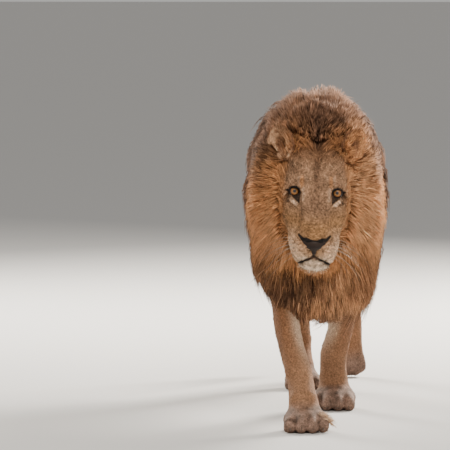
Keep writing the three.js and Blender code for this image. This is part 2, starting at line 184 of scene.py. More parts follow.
def distance(p, place):
    """How far each point is from a place."""
    return np.linalg.norm(p - np.array(place), axis=1)


def spot(p, centre, radii):
    """1 at the centre of a soft spot, falling to almost 0 at twice its radii."""
    q = (p - np.array(centre)) / np.array(radii)
    return np.exp(-(q * q).sum(-1))


def noise(points, scale, seed):
    """Smooth lattice noise between -1 and 1; scale is the size of a lump."""
    q = points / scale + 17.3 * seed
    cell = np.floor(q).astype(np.int64)
    part = q - cell
    part = part * part * (3 - 2 * part)
    total = np.zeros(len(points))
    for corner in np.ndindex(2, 2, 2):
        x, y, z = (cell + corner).T
        mixed = (x * 73856093) ^ (y * 19349663) ^ (z * 83492791) ^ (seed * 2654435761)
        mixed = ((mixed ^ (mixed >> 13)) * 1274126177) & 0xFFFFFFFF
        share = np.prod(np.where(np.array(corner) == 1, part, 1 - part), axis=1)
        total += share * ((mixed ^ (mixed >> 16)) % 65536 / 32767.5 - 1)
    return total


# -------------------- meshes as arrays


def mesh_object(name, points, faces):
    """A mesh object from points and triangles."""
    mesh = bpy.data.meshes.new(name)
    mesh.vertices.add(len(points))
    mesh.vertices.foreach_set("co", np.asarray(points, np.float32).ravel())
    mesh.loops.add(faces.size)
    mesh.loops.foreach_set("vertex_index", np.asarray(faces, np.int32).ravel())
    mesh.polygons.add(len(faces))
    mesh.polygons.foreach_set("loop_start", np.arange(len(faces), dtype=np.int32) * 3)
    mesh.update(calc_edges=True)
    mesh.shade_smooth()
    made = bpy.data.objects.new(name, mesh)
    bpy.context.scene.collection.objects.link(made)
    return made


def arrays(mesh):
    """Points and triangles of a mesh."""
    mesh.calc_loop_triangles()
    points = np.empty(len(mesh.vertices) * 3)
    mesh.vertices.foreach_get("co", points)
    faces = np.empty(len(mesh.loop_triangles) * 3, np.int32)
    mesh.loop_triangles.foreach_get("vertices", faces)
    return points.reshape(-1, 3), faces.reshape(-1, 3)


def stacked(bodies):
    """Points and triangles of several bodies as one set."""
    points, faces, start = [], [], 0
    for p, f in bodies:
        points.append(p)
        faces.append(f + start)
        start += len(p)
    return np.concatenate(points), np.concatenate(faces)


def node_bodies(names):
    """Points and triangles of each CAD node."""
    return [arrays(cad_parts[name].data) for name in names]


def remeshed(points, faces, voxel):
    """One closed skin round closed bodies."""
    rough = mesh_object("rough", points, faces)
    modifier = rough.modifiers.new("voxels", "REMESH")
    modifier.mode = "VOXEL"
    modifier.voxel_size = voxel
    evaluated = rough.evaluated_get(bpy.context.evaluated_depsgraph_get())
    result = arrays(evaluated.to_mesh())
    evaluated.to_mesh_clear()
    bpy.data.objects.remove(rough)
    return largest(*result)


def largest(points, faces):
    """The largest connected body."""
    label = np.arange(len(points))
    edges = edges_of(faces)
    while True:
        low = np.minimum(label[edges[:, 0]], label[edges[:, 1]])
        new = label.copy()
        np.minimum.at(new, edges[:, 0], low)
        np.minimum.at(new, edges[:, 1], low)
        new = new[new]
        if (new == label).all():
            break
        label = new
    main = np.bincount(label).argmax()
    keep = label == main
    place = np.cumsum(keep) - 1
    return points[keep], place[faces[keep[faces[:, 0]]]]


def edges_of(faces):
    """Every edge once, as a pair of points."""
    pairs = np.sort(np.concatenate([faces[:, [0, 1]], faces[:, [1, 2]], faces[:, [2, 0]]]), axis=1)
    return np.unique(pairs, axis=0)


def smoothed(values, edges, rounds, factor=0.5):
    """Values at the points, each pulled toward the mean of its neighbours."""
    n = len(values)
    ends = np.concatenate([edges, edges[:, ::-1]])
    count = np.bincount(ends[:, 0], minlength=n)[:, None]
    result = values.reshape(n, -1).astype(float)
    for _ in range(rounds):
        total = np.stack([np.bincount(ends[:, 0], column[ends[:, 1]], n) for column in result.T], 1)
        result = mix(result, total / count, factor)
    return result.reshape(values.shape)


def rounded(points, faces, rounds):
    """Smooths facets away and gives back the volume that this costs."""
    edges = edges_of(faces)
    soft = smoothed(points, edges, rounds)
    return soft + smoothed(points - soft, edges, rounds)


def face_cross(points, faces):
    """Each triangle's normal, twice as long as its area."""
    a, b, c = (points[faces[:, i]] for i in range(3))
    return np.cross(b - a, c - a)


def point_normals(points, faces):
    """The normal at each point: that of the triangles round it, weighted by area."""
    cross = face_cross(points, faces)
    total = np.zeros_like(points)
    for i in range(3):
        for axis in range(3):
            total[:, axis] += np.bincount(faces[:, i], cross[:, axis], len(points))
    return unit(total)


def refined(points, faces, wanted):
    """Splits every edge longer than the wanted length at its middle, without cracks."""
    edges = edges_of(faces)
    middle = points[edges].mean(1)
    long = np.linalg.norm(points[edges[:, 0]] - points[edges[:, 1]], axis=1) > wanted(middle)
    number = np.full(len(edges), -1)
    number[long] = len(points) + np.arange(long.sum())
    key = edges[:, 0].astype(np.int64) * len(points) + edges[:, 1]
    order = np.argsort(key)

    def cut_of(a, b):
        """The new point on the edge from a to b, or -1."""
        wanted_key = np.minimum(a, b).astype(np.int64) * len(points) + np.maximum(a, b)
        return number[order[np.searchsorted(key[order], wanted_key)]]

    cuts = np.stack([cut_of(faces[:, i], faces[:, (i + 1) % 3]) for i in range(3)], 1)
    parts = []
    for pattern in np.ndindex(2, 2, 2):
        chosen = ((cuts >= 0) == np.array(pattern, bool)).all(1)
        parts.extend(split(faces[chosen], cuts[chosen], pattern))
    return np.concatenate([points, middle[long]]), np.concatenate(parts)


def split(f, m, pattern):
    """The triangles of faces f whose edges in the pattern are cut at m."""
    cut = sum(pattern)
    if cut == 0:
        return [f]
    if cut == 3:
        a, b, c = f.T
        ab, bc, ca = m.T
        corners = [(a, ab, ca), (ab, b, bc), (ca, bc, c), (ab, bc, ca)]
        return [np.stack(t, 1) for t in corners]
    turn = pattern.index(1) if cut == 1 else (pattern.index(0) + 1) % 3
    a, b, c = (f[:, (turn + i) % 3] for i in range(3))
    first, second = m[:, turn], m[:, (turn + 1) % 3]
    if cut == 1:
        return [np.stack(t, 1) for t in [(a, first, c), (first, b, c)]]
    return [np.stack(t, 1) for t in [(a, first, c), (first, b, second), (first, second, c)]]


# -------------------- soft solid forms


def ellipsoid(p, centre, radii, turn=None):
    """Distance to an ellipsoid, true enough close to its surface."""
    q = p - np.array(centre, float)
    if turn is not None:
        q = q @ turn
    radii = np.array(radii, float)
    near = np.linalg.norm(q / radii, axis=1)
    steep = np.linalg.norm(q / radii**2, axis=1)
    return near * (near - 1) / np.maximum(steep, 1e-9)


def strand(p, stops, radii):
    """Distance to a bent round bar through the stops, whose radius changes along it."""
    best = np.full(len(p), np.inf)
    for a, b, ra, rb in zip(stops[:-1], stops[1:], radii[:-1], radii[1:]):
        a, b = np.array(a, float), np.array(b, float)
        along = np.clip((p - a) @ (b - a) / ((b - a) @ (b - a)), 0, 1)
        away = np.linalg.norm(p - a - along[:, None] * (b - a), axis=1) - mix(ra, rb, along)
        best = np.minimum(best, away)
    return best


def blend(a, b, soft):
    """Both forms in one, with a fillet."""
    h = np.clip(0.5 + 0.5 * (b - a) / soft, 0, 1)
    return mix(b, a, h) - soft * h * (1 - h)


def blended(body, *added):
    """A form with others added to it, each with the softness of its fillet."""
    for form, soft in added:
        body = blend(body, form, soft)
    return body


def carve(a, b, soft):
    """The first form less the second."""
    return -blend(-a, b, soft)


def turned(x, y, z):
    """Rotation about X, then Y, then Z, for points as rows."""
    return np.array(Euler((x, y, z), "XYZ").to_matrix())


def onto(points, field, rounds=5, step=0.4):
    """Moves points onto a form's surface."""
    p = points.copy()
    for _ in range(rounds):
        value = field(p)
        slope = np.stack([field(p + step * axis) - field(p - step * axis)
                          for axis in np.eye(3)], 1) / (2 * step)
        p -= np.clip(value, -9, 9)[:, None] * slope / np.maximum((slope**2).sum(1), 0.3)[:, None]
    return p


# -------------------- the head's form


def centre(node):
    """The middle of a CAD node's box."""
    low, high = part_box(node)
    return np.array((low + high) / 2)


HEAD_TURN = np.array(Matrix.Rotation(HEAD_PITCH, 3, "X") @ Matrix.Rotation(HEAD_ROLL, 3, "Y"))
EYE_MIDDLE = (centre("eye_left") + centre("eye_right")) / 2
HEAD_ORIGIN = EYE_MIDDLE - HEAD_TURN @ np.array([0, EYE_BACK, 0]) * MM


def chin_lean(q):
    """The sideways lean of the lower face, as an offset along the head's x."""
    return CHIN_LEAN * ramp(-90, -200, q[..., 2:]) * np.array([1, 0, 0])


def to_head(p):
    """Places in the room as places in the head's frame."""
    q = (p - HEAD_ORIGIN) @ HEAD_TURN / MM
    return q - chin_lean(q)


def from_head(q):
    """Places in the head's frame as places in the room."""
    return HEAD_ORIGIN + (q + chin_lean(q)) @ HEAD_TURN.T * MM


def mirrored(p):
    """Both halves of the head folded onto the left one."""
    return np.column_stack([np.abs(p[:, 0]), p[:, 1], p[:, 2]])


def ahead(m):
    """Where a point of the head is seen from straight ahead: across, and up from the eyes' line."""
    up = m[:, 2] * math.cos(SEEN_PITCH) + m[:, 1] * math.sin(SEEN_PITCH)
    return np.column_stack([m[:, 0], up])


# Back from the eyes, height of the middle, half width, half height and squareness of the section.
HEAD_SECTIONS = np.array([
    [-150, -84, 36, 26, 2.5],
    [-112, -68, 45, 39, 2.6],
    [-76, -57, 49, 47, 2.6],
    [-38, -47, 53, 55, 2.5],
    [-6, -38, 68, 66, 2.4],
    [30, -32, 95, 81, 2.2],
    [76, -25, 110, 95, 2.2],
    [130, -18, 108, 94, 2.1],
    [200, -15, 93, 84, 2.1],
])


def section_at(y):
    """The head's section at each y, eased between the stations."""
    stops = HEAD_SECTIONS[:, 0]
    dense = np.linspace(stops[0], stops[-1], 71)
    shape = [np.interp(dense, stops, column) for column in HEAD_SECTIONS[:, 1:].T]
    kernel = np.array([1, 2, 3, 2, 1]) / 9
    eased = [np.convolve(np.pad(column, 2, mode="edge"), kernel, "valid") for column in shape]
    return [np.interp(y, dense, column) for column in eased]


def skull_form(p):
    """Distance to the head's plain form, through its sections."""
    middle, wide, tall, square = section_at(p[:, 1])
    reach = ((np.abs(p[:, 0]) / wide) ** square
             + (np.abs(p[:, 2] - middle) / tall) ** square) ** (1 / square)
    side = (reach - 1) * np.minimum(wide, tall)
    return -blend(-side, p[:, 1] - HEAD_SECTIONS[0, 0] + 6, 22)


EYE_TURN = turned(-0.56, 0.0, 0.06)  # the lids' opening looks forward and up


def eye_place(m):
    """Points in the left eye's own axes: across (+ outward), back and up, from its middle."""
    return (m - np.array([EYE_ACROSS, EYE_BACK, 0.0])) @ EYE_TURN


def eye_ahead(m):
    """Points as seen from ahead, across (+ outward) and up from the eye's middle."""
    return ahead(m) - (EYE_ACROSS, EYE_BACK * math.sin(SEEN_PITCH))


def lid_opening(m):
    """How far a point is outside the opening between the lids: 1 on its edge."""
    across, up = eye_ahead(m).T
    return np.sqrt(((across - 2.4) / 17.2) ** 2 + (up / np.where(up > 0, 9.2, 12.2)) ** 2)


def head_form(p):
    """Distance to the head without its ears."""
    m = mirrored(p)
    body = blended(
        skull_form(m),
        (ellipsoid(m, (66, 16, -64), (38, 82, 52)), 26),  # cheek
        (ellipsoid(m, (88, 14, -14), (16, 34, 14)), 16),  # cheekbone
        (ellipsoid(m, (40, 98, 58), (44, 60, 34)), 20),  # temple muscle
        (ellipsoid(m, (47, 2, 26), (30, 20, 12), turned(0.3, 0.25, 0.2)), 12),  # brow
        (ellipsoid(m, (30, -40, 2), (14, 62, 9), turned(0.5, 0, 0.05)), 12),  # edge of the bridge
    )
    body = carve(body, ellipsoid(m, (0, 20, 62), (7, 60, 9), turned(0.35, 0, 0)), 9)  # brow furrow
    wing = [(14, -138, -86), (34, -132, -76), (48, -118, -70)]
    body = blended(
        body,
        (jaw_form(m), 9),
        (strand(m, [(50, -14, -78), (44, -92, -104)], [38, 36]), 26),  # side of the muzzle
        (ellipsoid(m, (39, -104, -123), (38, 47, 52), turned(0.1, 0, -0.15)), 12),  # whisker pad
        (ellipsoid(m, (19, -127, -124), (27, 27, 29)), 9),  # front of the lips
        (ellipsoid(m, (42, -108, -150), (24, 36, 32)), 12),  # flews
        (strand(m, wing, [14, 11, 8]), 9),  # rise beside the nose
    )
    body = carve(body, mouth_line(m), 3)
    body = carve(body, strand(m, [(0, -160, -112), (0, -161, -142)], [3, 3]), 3)  # lip cleft
    body = blend(body, distance(eye_place(m), (0, 0, 0)) - EYE_RADIUS - 4.2, 9)  # lids
    return carve(body, eye_hole(m), 1.5)


def jaw_form(m):
    """Distance to the chin and the bar of the jaw behind it."""
    chin = ellipsoid(m, (0, -114, -172), (56, 38, 38))
    bar = strand(m, [(16, -112, -166), (44, -40, -140), (66, 40, -112)], [28, 30, 38])
    return blend(chin, bar, 14)


def mouth_line(m):
    """Distance to the bar that parts the lips, from the middle to the corner."""
    stops = [(0, -151, -134), (15, -149, -145), (28, -145, -156), (43, -136, -168), (59, -119, -187)]
    return strand(m, stops, [3.4, 3.2, 3.4, 4.0, 4.8])


def lips_ahead(m):
    """Distance from the mouth's line as seen from ahead."""
    stops = [(0, -196), (15, -205), (27, -210), (42, -216), (53, -224)]
    return strand(ahead(m), stops, [3.0, 2.8, 2.6, 2.8, 3.4])


def eye_hole(m):
    """The space that the lids leave open, with the eyeball in it."""
    q = eye_place(m)
    wall = (lid_opening(m) - 1) * 11
    return np.maximum(wall, q[:, 1] + 4)


EAR_AT, EAR_SIZE = (113, 140, 88), (44, 25, 58)
EAR_TURN = turned(-0.25, 0.42, 0.5)


def ear_place(m):
    """Points in the left ear's own axes, and how far out they are: 1 on its outer form."""
    q = (m - np.array(EAR_AT)) @ EAR_TURN
    return q, distance(q / np.array(EAR_SIZE), (0, 0, 0))


def ear_form(m):
    """Distance to an ear: a shell, hollow toward the front."""
    shell = ellipsoid(m, EAR_AT, EAR_SIZE, EAR_TURN)
    return carve(shell, ellipsoid(m, (127, 112, 92), (35, 29, 48), EAR_TURN), 4)


def whole_head(p):
    """Distance to the head with its ears."""
    return blend(head_form(p), ear_form(mirrored(p)), 8)


# -------------------- the paws' form

PAW_WIDE, PAW_LONG = 150.0, 170.0
HIND_SHARE = 0.87  # a hind paw's size next to a forepaw's
TOES = (-1.5, -0.5, 0.5, 1.5)  # each toe's place across the paw, in toe widths


class Paw:
    """A paw's place: its own frame in millimetres, toes toward -Y and the sole at z = 0."""

    def __init__(self, node, share, turn, ankle):
        low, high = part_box(node)
        self.node = node
        self.share = share
        self.turn = turned(*turn)
        toe_tip = self.turn @ np.array([0, -0.52 * PAW_LONG * share * MM, 0])
        self.at = np.array([(low.x + high.x) / 2, low.y - toe_tip[1], 0])
        self.ankle = ankle
        self.rise = unit(np.subtract(ankle[-1], ankle[0]))

    def local(self, p):
        """Places in the room as places in the paw's frame."""
        return (p - self.at) @ self.turn / (MM * self.share)

    def world(self, q):
        """Places in the paw's frame as places in the room."""
        return self.at + q @ self.turn.T * (MM * self.share)

    def below_ankle(self, q):
        """1 in the paw itself and 0 up the leg."""
        return ramp(112, 46, (q - np.array(self.ankle[0])) @ self.rise)

    def form(self, q):
        """Distance to the paw: its body, the ankle, the toes and the flat sole."""
        body = ellipsoid(q, (0, 10, 34), (PAW_WIDE * 0.46, 68, 41))
        body = blend(body, strand(q, self.ankle, [50, 47, 46]), 22)
        toes = toe_form(q, TOES[0])
        for toe in TOES[1:]:
            toes = blend(toes, toe_form(q, toe), 9)
        body = blend(body, toes, 14)
        return np.maximum(body, -q[:, 2] + 1.0)


def toe_back(toe):
    """Where a toe's middle lies along the paw, - ahead: the outer toes behind the inner ones."""
    return -PAW_LONG * (0.215 if abs(toe) > 1 else 0.265)


def toe_form(q, toe):
    """Distance to one toe: its knuckle and its tip."""
    outer = abs(toe) > 1
    at = np.array([toe * PAW_WIDE * 0.228, toe_back(toe), 28 - 2 * outer])
    form = ellipsoid(q, at, (19, 38, 26 - 2 * outer), turned(0.20, 0, toe * 0.12))
    tip = ellipsoid(q, at + (toe * 1.5, -24, -12), (16.5, 18, 15))
    return blend(form, tip, 9)


# Each standing paw; the lifted one keeps the form of its solid. The ankle's stops go up the leg.
PAWS = [
    Paw("foreleg_right_paw", 1.0, (0, 0, 0.06), [(0, 30, 40), (-4, 52, 96), (-14, 88, 160)]),
    Paw("foreleg_left_paw", 1.0, (0, 0, -0.08), [(0, 28, 40), (-6, 36, 96), (-6, 32, 168)]),
    Paw("hindleg_right_paw", HIND_SHARE, (0, 0, 0.05), [(0, 30, 40), (-1, 60, 100), (-2, 92, 172)]),
]


# -------------------- one skin


def tree_of(points, faces):
    """A search tree of triangles."""
    return BVHTree.FromPolygons(points.tolist(), faces.tolist())


def nearest_owner(points, names):
    """For each point, the CAD node that it lies on, as its place in the list of names."""
    bodies = node_bodies(names)
    owner = np.repeat(np.arange(len(names)), [len(f) for _, f in bodies])
    tree = tree_of(*stacked(bodies))
    return np.array([owner[tree.find_nearest(Vector(point))[2]] for point in points])


def body_muscles(p, n):
    """How far the form under the coat stands out (+) or in (-), in metres."""
    side = np.abs(p[:, 0])
    q = np.column_stack([side, p[:, 1], p[:, 2]])
    hip, stifle = centre("hindleg_right_thigh")[1], centre("hindleg_right_shank")[1]
    out = np.zeros(len(p))
    for rise, at, radii in (
        (0.010, (0.165, hip - 0.10, 0.66), (0.06, 0.10, 0.12)),  # thigh muscle
        (-0.010, (0.170, hip + 0.04, 0.62), (0.06, 0.035, 0.12)),  # groove behind it
        (0.008, (0.06, hip - 0.13, 0.93), (0.04, 0.05, 0.03)),  # hip bone
        (-0.012, (0.19, stifle - 0.22, 0.62), (0.06, 0.10, 0.10)),  # flank hollow
    ):
        out += rise * spot(q, at, radii)
    for leg in ("hindleg_right", "hindleg_left"):
        heel = centre(f"{leg}_hock")
        heel[1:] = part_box(f"{leg}_shank")[1].y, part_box(f"{leg}_hock")[1].z - 0.03
        out += 0.014 * spot(p, heel, (0.06, 0.04, 0.04)) * ramp(0, 0.6, n[:, 1])
    ribs = np.sin(p[:, 1] / 0.022) * ramp(-0.16, -0.02, p[:, 1]) * ramp(0.32, 0.12, p[:, 1])
    out += 0.0012 * ribs * ramp(0.05, 0.14, side) * ramp(0.86, 0.74, p[:, 2])
    return out + 0.0025 * noise(p, 0.07, 3)


def skin_detail(p):
    """The wanted edge length at each point."""
    q = to_head(p)
    m = mirrored(q)
    face = ramp(150, 110, q[:, 1]) * ramp(190, 150, distance(m, (0, 0, -40)))
    ears = ramp(95, 70, distance(m, EAR_AT))
    eyes = ramp(44, 32, distance(m, (EYE_ACROSS, -10, -8)))
    lips = ramp(56, 40, np.linalg.norm((m - (22, -142, -128)) * (0.75, 1, 0.75), axis=1))
    length = mix(0.013, 0.0040, np.maximum(face, ears))
    length = mix(length, 0.0021, np.maximum(eyes, lips) * face)
    for paw in PAWS:
        near = ramp(120, 95, distance(paw.local(p), (0, -10, 30)))
        length = mix(length, 0.0056, near)
    return length * 1.35


def sculpted(points):
    """Head and paws moved onto their own forms; the rest stays. Says which points stayed off."""
    p = points.copy()
    off = np.zeros(len(p), bool)

    def settle(on, place, back, form, hold):
        """Moves the chosen points onto a form, as far as hold says; back leads to the room."""
        moved = onto(place, form)
        p[on] = mix(p[on], back(moved), hold[:, None])
        off[on] |= (np.abs(form(moved)) > 2) & (hold > 0.5)

    q = to_head(p)
    m = mirrored(q)
    ear = distance(m, EAR_AT) < 92
    hold = ramp(150, 95, q[:, 1]) * (distance(m, (0, 20, -40)) < 230)
    hold = np.maximum(hold, ear * 1.0)
    on = hold > 0
    settle(on, q[on], from_head, whole_head, hold[on])
    for paw in PAWS:
        q = paw.local(p)
        hold = paw.below_ankle(q) * (distance(q, (0, 0, 40)) < 150)
        on = hold > 0
        settle(on, q[on], paw.world, paw.form, hold[on])
    return p, off


def drawn_out(points, faces, off):
    """Points that lie off their form, in a fold, drawn level with the skin round them."""
    edges = edges_of(faces)
    off = smoothed(off * 1.0, edges, 2, 1.0) > 0
    p = points.copy()
    for _ in range(40):
        p[off] = smoothed(p, edges, 1, 1.0)[off]
    return p


def ankles_eased(points, faces):
    """The skin smoothed where each paw's form meets the leg."""
    soft = smoothed(points, edges_of(faces), 14)
    ease = np.zeros(len(points))
    for paw in PAWS:
        q = paw.local(points)
        height = (q - np.array(paw.ankle[0])) @ paw.rise
        near = distance(q, paw.ankle[1]) < 110
        ease = np.maximum(ease, near * ramp(24, 60, height) * ramp(165, 120, height))
    return mix(points, soft, ease[:, None])


def make_skin():
    """Points and triangles of the lion's one skin, a coat's thickness inside the solids."""
    points, faces = remeshed(*stacked(node_bodies(FLESH)), SKIN_VOXEL)
    tail = points[:, 1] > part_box("rump")[1].y
    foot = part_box("hindleg_left_paw")
    toes = ramp(foot[1].z + 0.03, foot[1].z - 0.03, points[:, 2]) * (points[:, 1] > foot[0].y)
    thin = np.maximum(tail, 0.5 * toes)[:, None]
    points = mix(rounded(points, faces, 26), rounded(points, faces, 4), thin)
    normals = point_normals(points, faces)
    thick = ramp(0.28, 0.55, points[:, 2]) * ~tail
    points += normals * (body_muscles(points, normals) * ~tail - mix(0.001, 0.007, thick))[:, None]
    for _ in range(3):
        points, off = sculpted(points)
        points = drawn_out(points, faces, off)
        points, faces = refined(points, faces, skin_detail)
        points = mix(points, smoothed(points, edges_of(faces), 1), 0.6)
    points, _ = sculpted(points)
    points = ankles_eased(points, faces)
    points[:, 2] = np.maximum(points[:, 2], 0.0008)
    return points, faces


# -------------------- markings


def painter(tone):
    """A brush that mixes a colour into the tones, as much as each place's amount says."""

    def paint(colour, amount):
        tone[:] = mix(tone, colour, np.clip(amount, 0, 1)[:, None])

    return paint


def face_tone(q, base):
    """The short coat's colour on the head, from places in the head's frame."""
    m = mirrored(q)
    x, y, z = m.T
    tone = base.copy()
    paint = painter(tone)
    paint(GREY_BROWN, ramp(-75, -10, z + 0.2 * y))
    paint(mix(OCHRE, TAN, 0.35), ramp(84, 112, x) * ramp(60, -20, z) * 0.85)
    paint(FACE_DARK, spot(m, (0, -60, 8), (26, 62, 40)) * 0.62)  # bridge
    paint(FACE_DARK, spot(m, (30, -70, -10), (16, 40, 26)) * 0.35)
    paint(mix(FACE_DARK, BLACK, 0.3), spot(m, (0, 84, 76), (8, 52, 40)) * 0.9)  # middle stripe
    paint(FACE_DARK, spot(m, (0, 24, 48), (13, 38, 34)) * 0.85)
    paint(mix(FACE_DARK, OCHRE, 0.15), ramp(74, 126, ahead(m)[:, 1]) * 0.9)  # to the hairline
    paint(FACE_DARK, spot(m, (66, 44, 40), (22, 26, 26)) * 0.25)
    paint(FACE_DARK, spot(m, (66, -20, -52), (26, 46, 30)) * 0.45)  # below the eyes
    pads = spot(m, (56, -118, -120), (40, 46, 40))
    paint(1.22 * mix(PALE, OCHRE, 0.15), pads * 1.05)
    paint(mix(TAN, GREY_BROWN, 0.4), spot(m, (34, -120, -84), (34, 40, 14)) * 0.5)
    paint(WHITE, spot(m, (20, -145, -150), (26, 24, 13)) * 0.75)
    paint(mix(WHITE, PALE, 0.4), spot(m, (8, -128, -190), (56, 44, 30)) * 1.25)  # chin
    front = ramp(60, 30, y)
    paint_brow(ahead(m), front, paint)
    paint_whisker_rows(ahead(m), front, paint)
    paint_eye_marks(m, front, paint)
    paint_nose_and_lips(m, paint)
    fleck = 0.70 * noise(q, 3.6, 7) + 0.24 * noise(q, 11.0, 8)
    return tone * np.clip(1 + fleck, 0.3, 2)[:, None]


def paint_brow(at, front, paint):
    """An upright ochre mark over each eye, with a pale edge on its outer side."""
    paint(mix(OCHRE, TAN, 0.3), ramp(8, 1, strand(at, [(46, 24), (46, 50)], [1, 1])) * front * 0.8)
    paint(PALE, ramp(5, 0, strand(at, [(57, 34), (55, 50)], [1, 1])) * front * 0.28)
    paint(PALE, ramp(6, 0, strand(at, [(30, 40), (33, 54)], [1, 1])) * front * 0.12)


def paint_whisker_rows(at, front, paint):
    """Four rows of brown dots where the whiskers grow."""
    amount = np.zeros(len(at))
    for row in range(4):
        for k in range(5):
            dot = (25 + 9.5 * k + 3 * (row % 2), -147 - 11 * row - 0.8 * k)
            amount = np.maximum(amount, spot(at, dot, (4.2, 2.2)))
    paint(mix(RUSSET, DARK, 0.4), amount * front * 0.8)


def paint_eye_marks(m, front, paint):
    """Black lids and tear mark, and the pale streak below each eye."""
    at = eye_ahead(m)
    across, up = at.T
    near = front * ramp(-62, -50, up) * ramp(45, 36, np.abs(across)) * ramp(60, 40, eye_place(m)[:, 1])
    below = strand(at, [(21, -32), (-3, -46)], [1.0, 1.0])
    paint(FACE_DARK, ramp(5, 0, below) * near * 0.75)
    inner = strand(at, [(-25, 9), (-26, -26)], [1, 1])
    paint(mix(PALE, TAN, 0.3), ramp(6, 0, inner) * near * 0.6)
    ring = np.sqrt(((across - 1.8) / 19.5) ** 2 + (up / np.where(up > 0, 17.0, 15.0)) ** 2)
    corner = strand(at, [(14, 3), (28, 2)], [8.0, 1.8])
    paint(BLACK, np.maximum(ramp(1.10, 0.96, ring), ramp(1.5, -1.0, corner)) * near)
    tear = np.maximum(np.maximum((across - up - 25) * 0.7, -20.5 - across - 0.1 * up), -46 - up)
    paint(mix(BLACK, FACE_DARK, 0.15), ramp(1.5, -2.0, np.maximum(tear, up)) * near * 0.96)
    streak = strand(at, [(28, -12), (10, -27), (-5, -39)], [3.6, 4.8, 5.8])
    paint(mix(PALE, TAN, 0.30), ramp(2.5, -2.0, streak) * near * 0.90)


def nose_ahead(m):
    """Distance from the outline of the bare nose as seen from ahead."""
    at = ahead(m)
    arm = strand(at, [(6, -153), (27, -147), (38, -143), (50, -130)], [6, 8, 4.5, 2.0])
    return blend(arm, strand(at, [(0, -160), (0, -172), (0, -188)], [13, 6.5, 1.8]), 5)


def paint_nose_and_lips(m, paint):
    """Black nose, the cleft below it, black lips and the shade under them."""
    tip = ramp(-70, -90, m[:, 1]) * (m[:, 2] > -150)
    paint(BLACK, ramp(2.5, 0, nose_ahead(m)) * tip)
    paint(BLACK, ramp(1.5, -0.5, strand(ahead(m), [(0, -188), (0, -198)], [2.0, 3.0])) * tip)
    lower = ramp(-85, -100, m[:, 1])
    paint(BLACK, ramp(2.6, 0.2, lips_ahead(m)) * lower)
    paint(FACE_DARK, spot(ahead(m), (0, -204), (16, 7)) * lower * 0.8)


def ear_tone(q, tone):
    """Pale rim and pale hair inside, darker back."""
    local, out = ear_place(mirrored(q))
    near = ramp(1.25, 1.05, out) * (q[:, 2] > 30)
    inner = ramp(-4, -12, local[:, 1])
    fair = np.where(q[:, 0] < 0, 0.55, 0.10)  # the left ear's hair is as dark as the mane there
    colour = mix(mix(TAN, DARK, 0.35), mix(OCHRE, PALE, fair[:, None]), inner[:, None])
    return mix(tone, colour, near[:, None])


def coat_tone(p, n, owner):
    """The short coat's colour at each point of the skin."""
    names = np.array(FLESH)[owner]
    z = p[:, 2]
    is_leg = np.isin(names, LEG_NODES)
    tone = np.tile(TAN, (len(p), 1))
    paint = painter(tone)
    paint(TAWNY, 0.8 * ramp(0.34, 0.52, z))
    inward = -n[:, 0] * np.sign(p[:, 0])
    inner = is_leg * ramp(0.1, 0.75, inward) * ramp(0.14, 0.3, z)
    below = 0.6 * ramp(-0.45, -0.95, n[:, 2]) * ramp(0.3, 0.4, z)
    pale = np.maximum(inner, below)
    paint(mix(PALE, WHITE, 0.3), 0.9 * pale)
    back = ramp(0.5, 0.95, n[:, 2]) * ramp(0.8, 0.9, z)
    paint(mix(TAN, TAN_DARK, 0.55), 0.6 * back)
    low = is_leg * ramp(0.34, 0.12, z) * (1 - pale)
    paint(1.05 * GREY_BROWN, 0.55 * low)
    tone *= 1 - 0.16 * (is_leg * ramp(0.16, 0.30, z) * ramp(0.60, 0.45, z))[:, None]
    # Painted shade: the hind legs darker toward the floor, in the shade under the trunk.
    hind = np.char.startswith(names, "hindleg") * ramp(0.5, 0.3, z)
    paint(mix(TAN, TAN_DARK, 0.6), 0.5 * hind * (1 - pale))
    paws = np.char.endswith(names, "paw").astype(float)
    paint(PAW_GREY, 0.85 * paws * ramp(0.11, 0.05, z))
    tone *= (1 + 0.90 * noise(p, 0.010, 9) * paws * ramp(0.12, 0.06, z))[:, None]
    tone *= (1 + 0.13 * noise(p, 0.045, 5) + 0.08 * noise(p, 0.012, 6))[:, None]
    return tone


STRAW = mix(GOLD, PALE, 0.35)

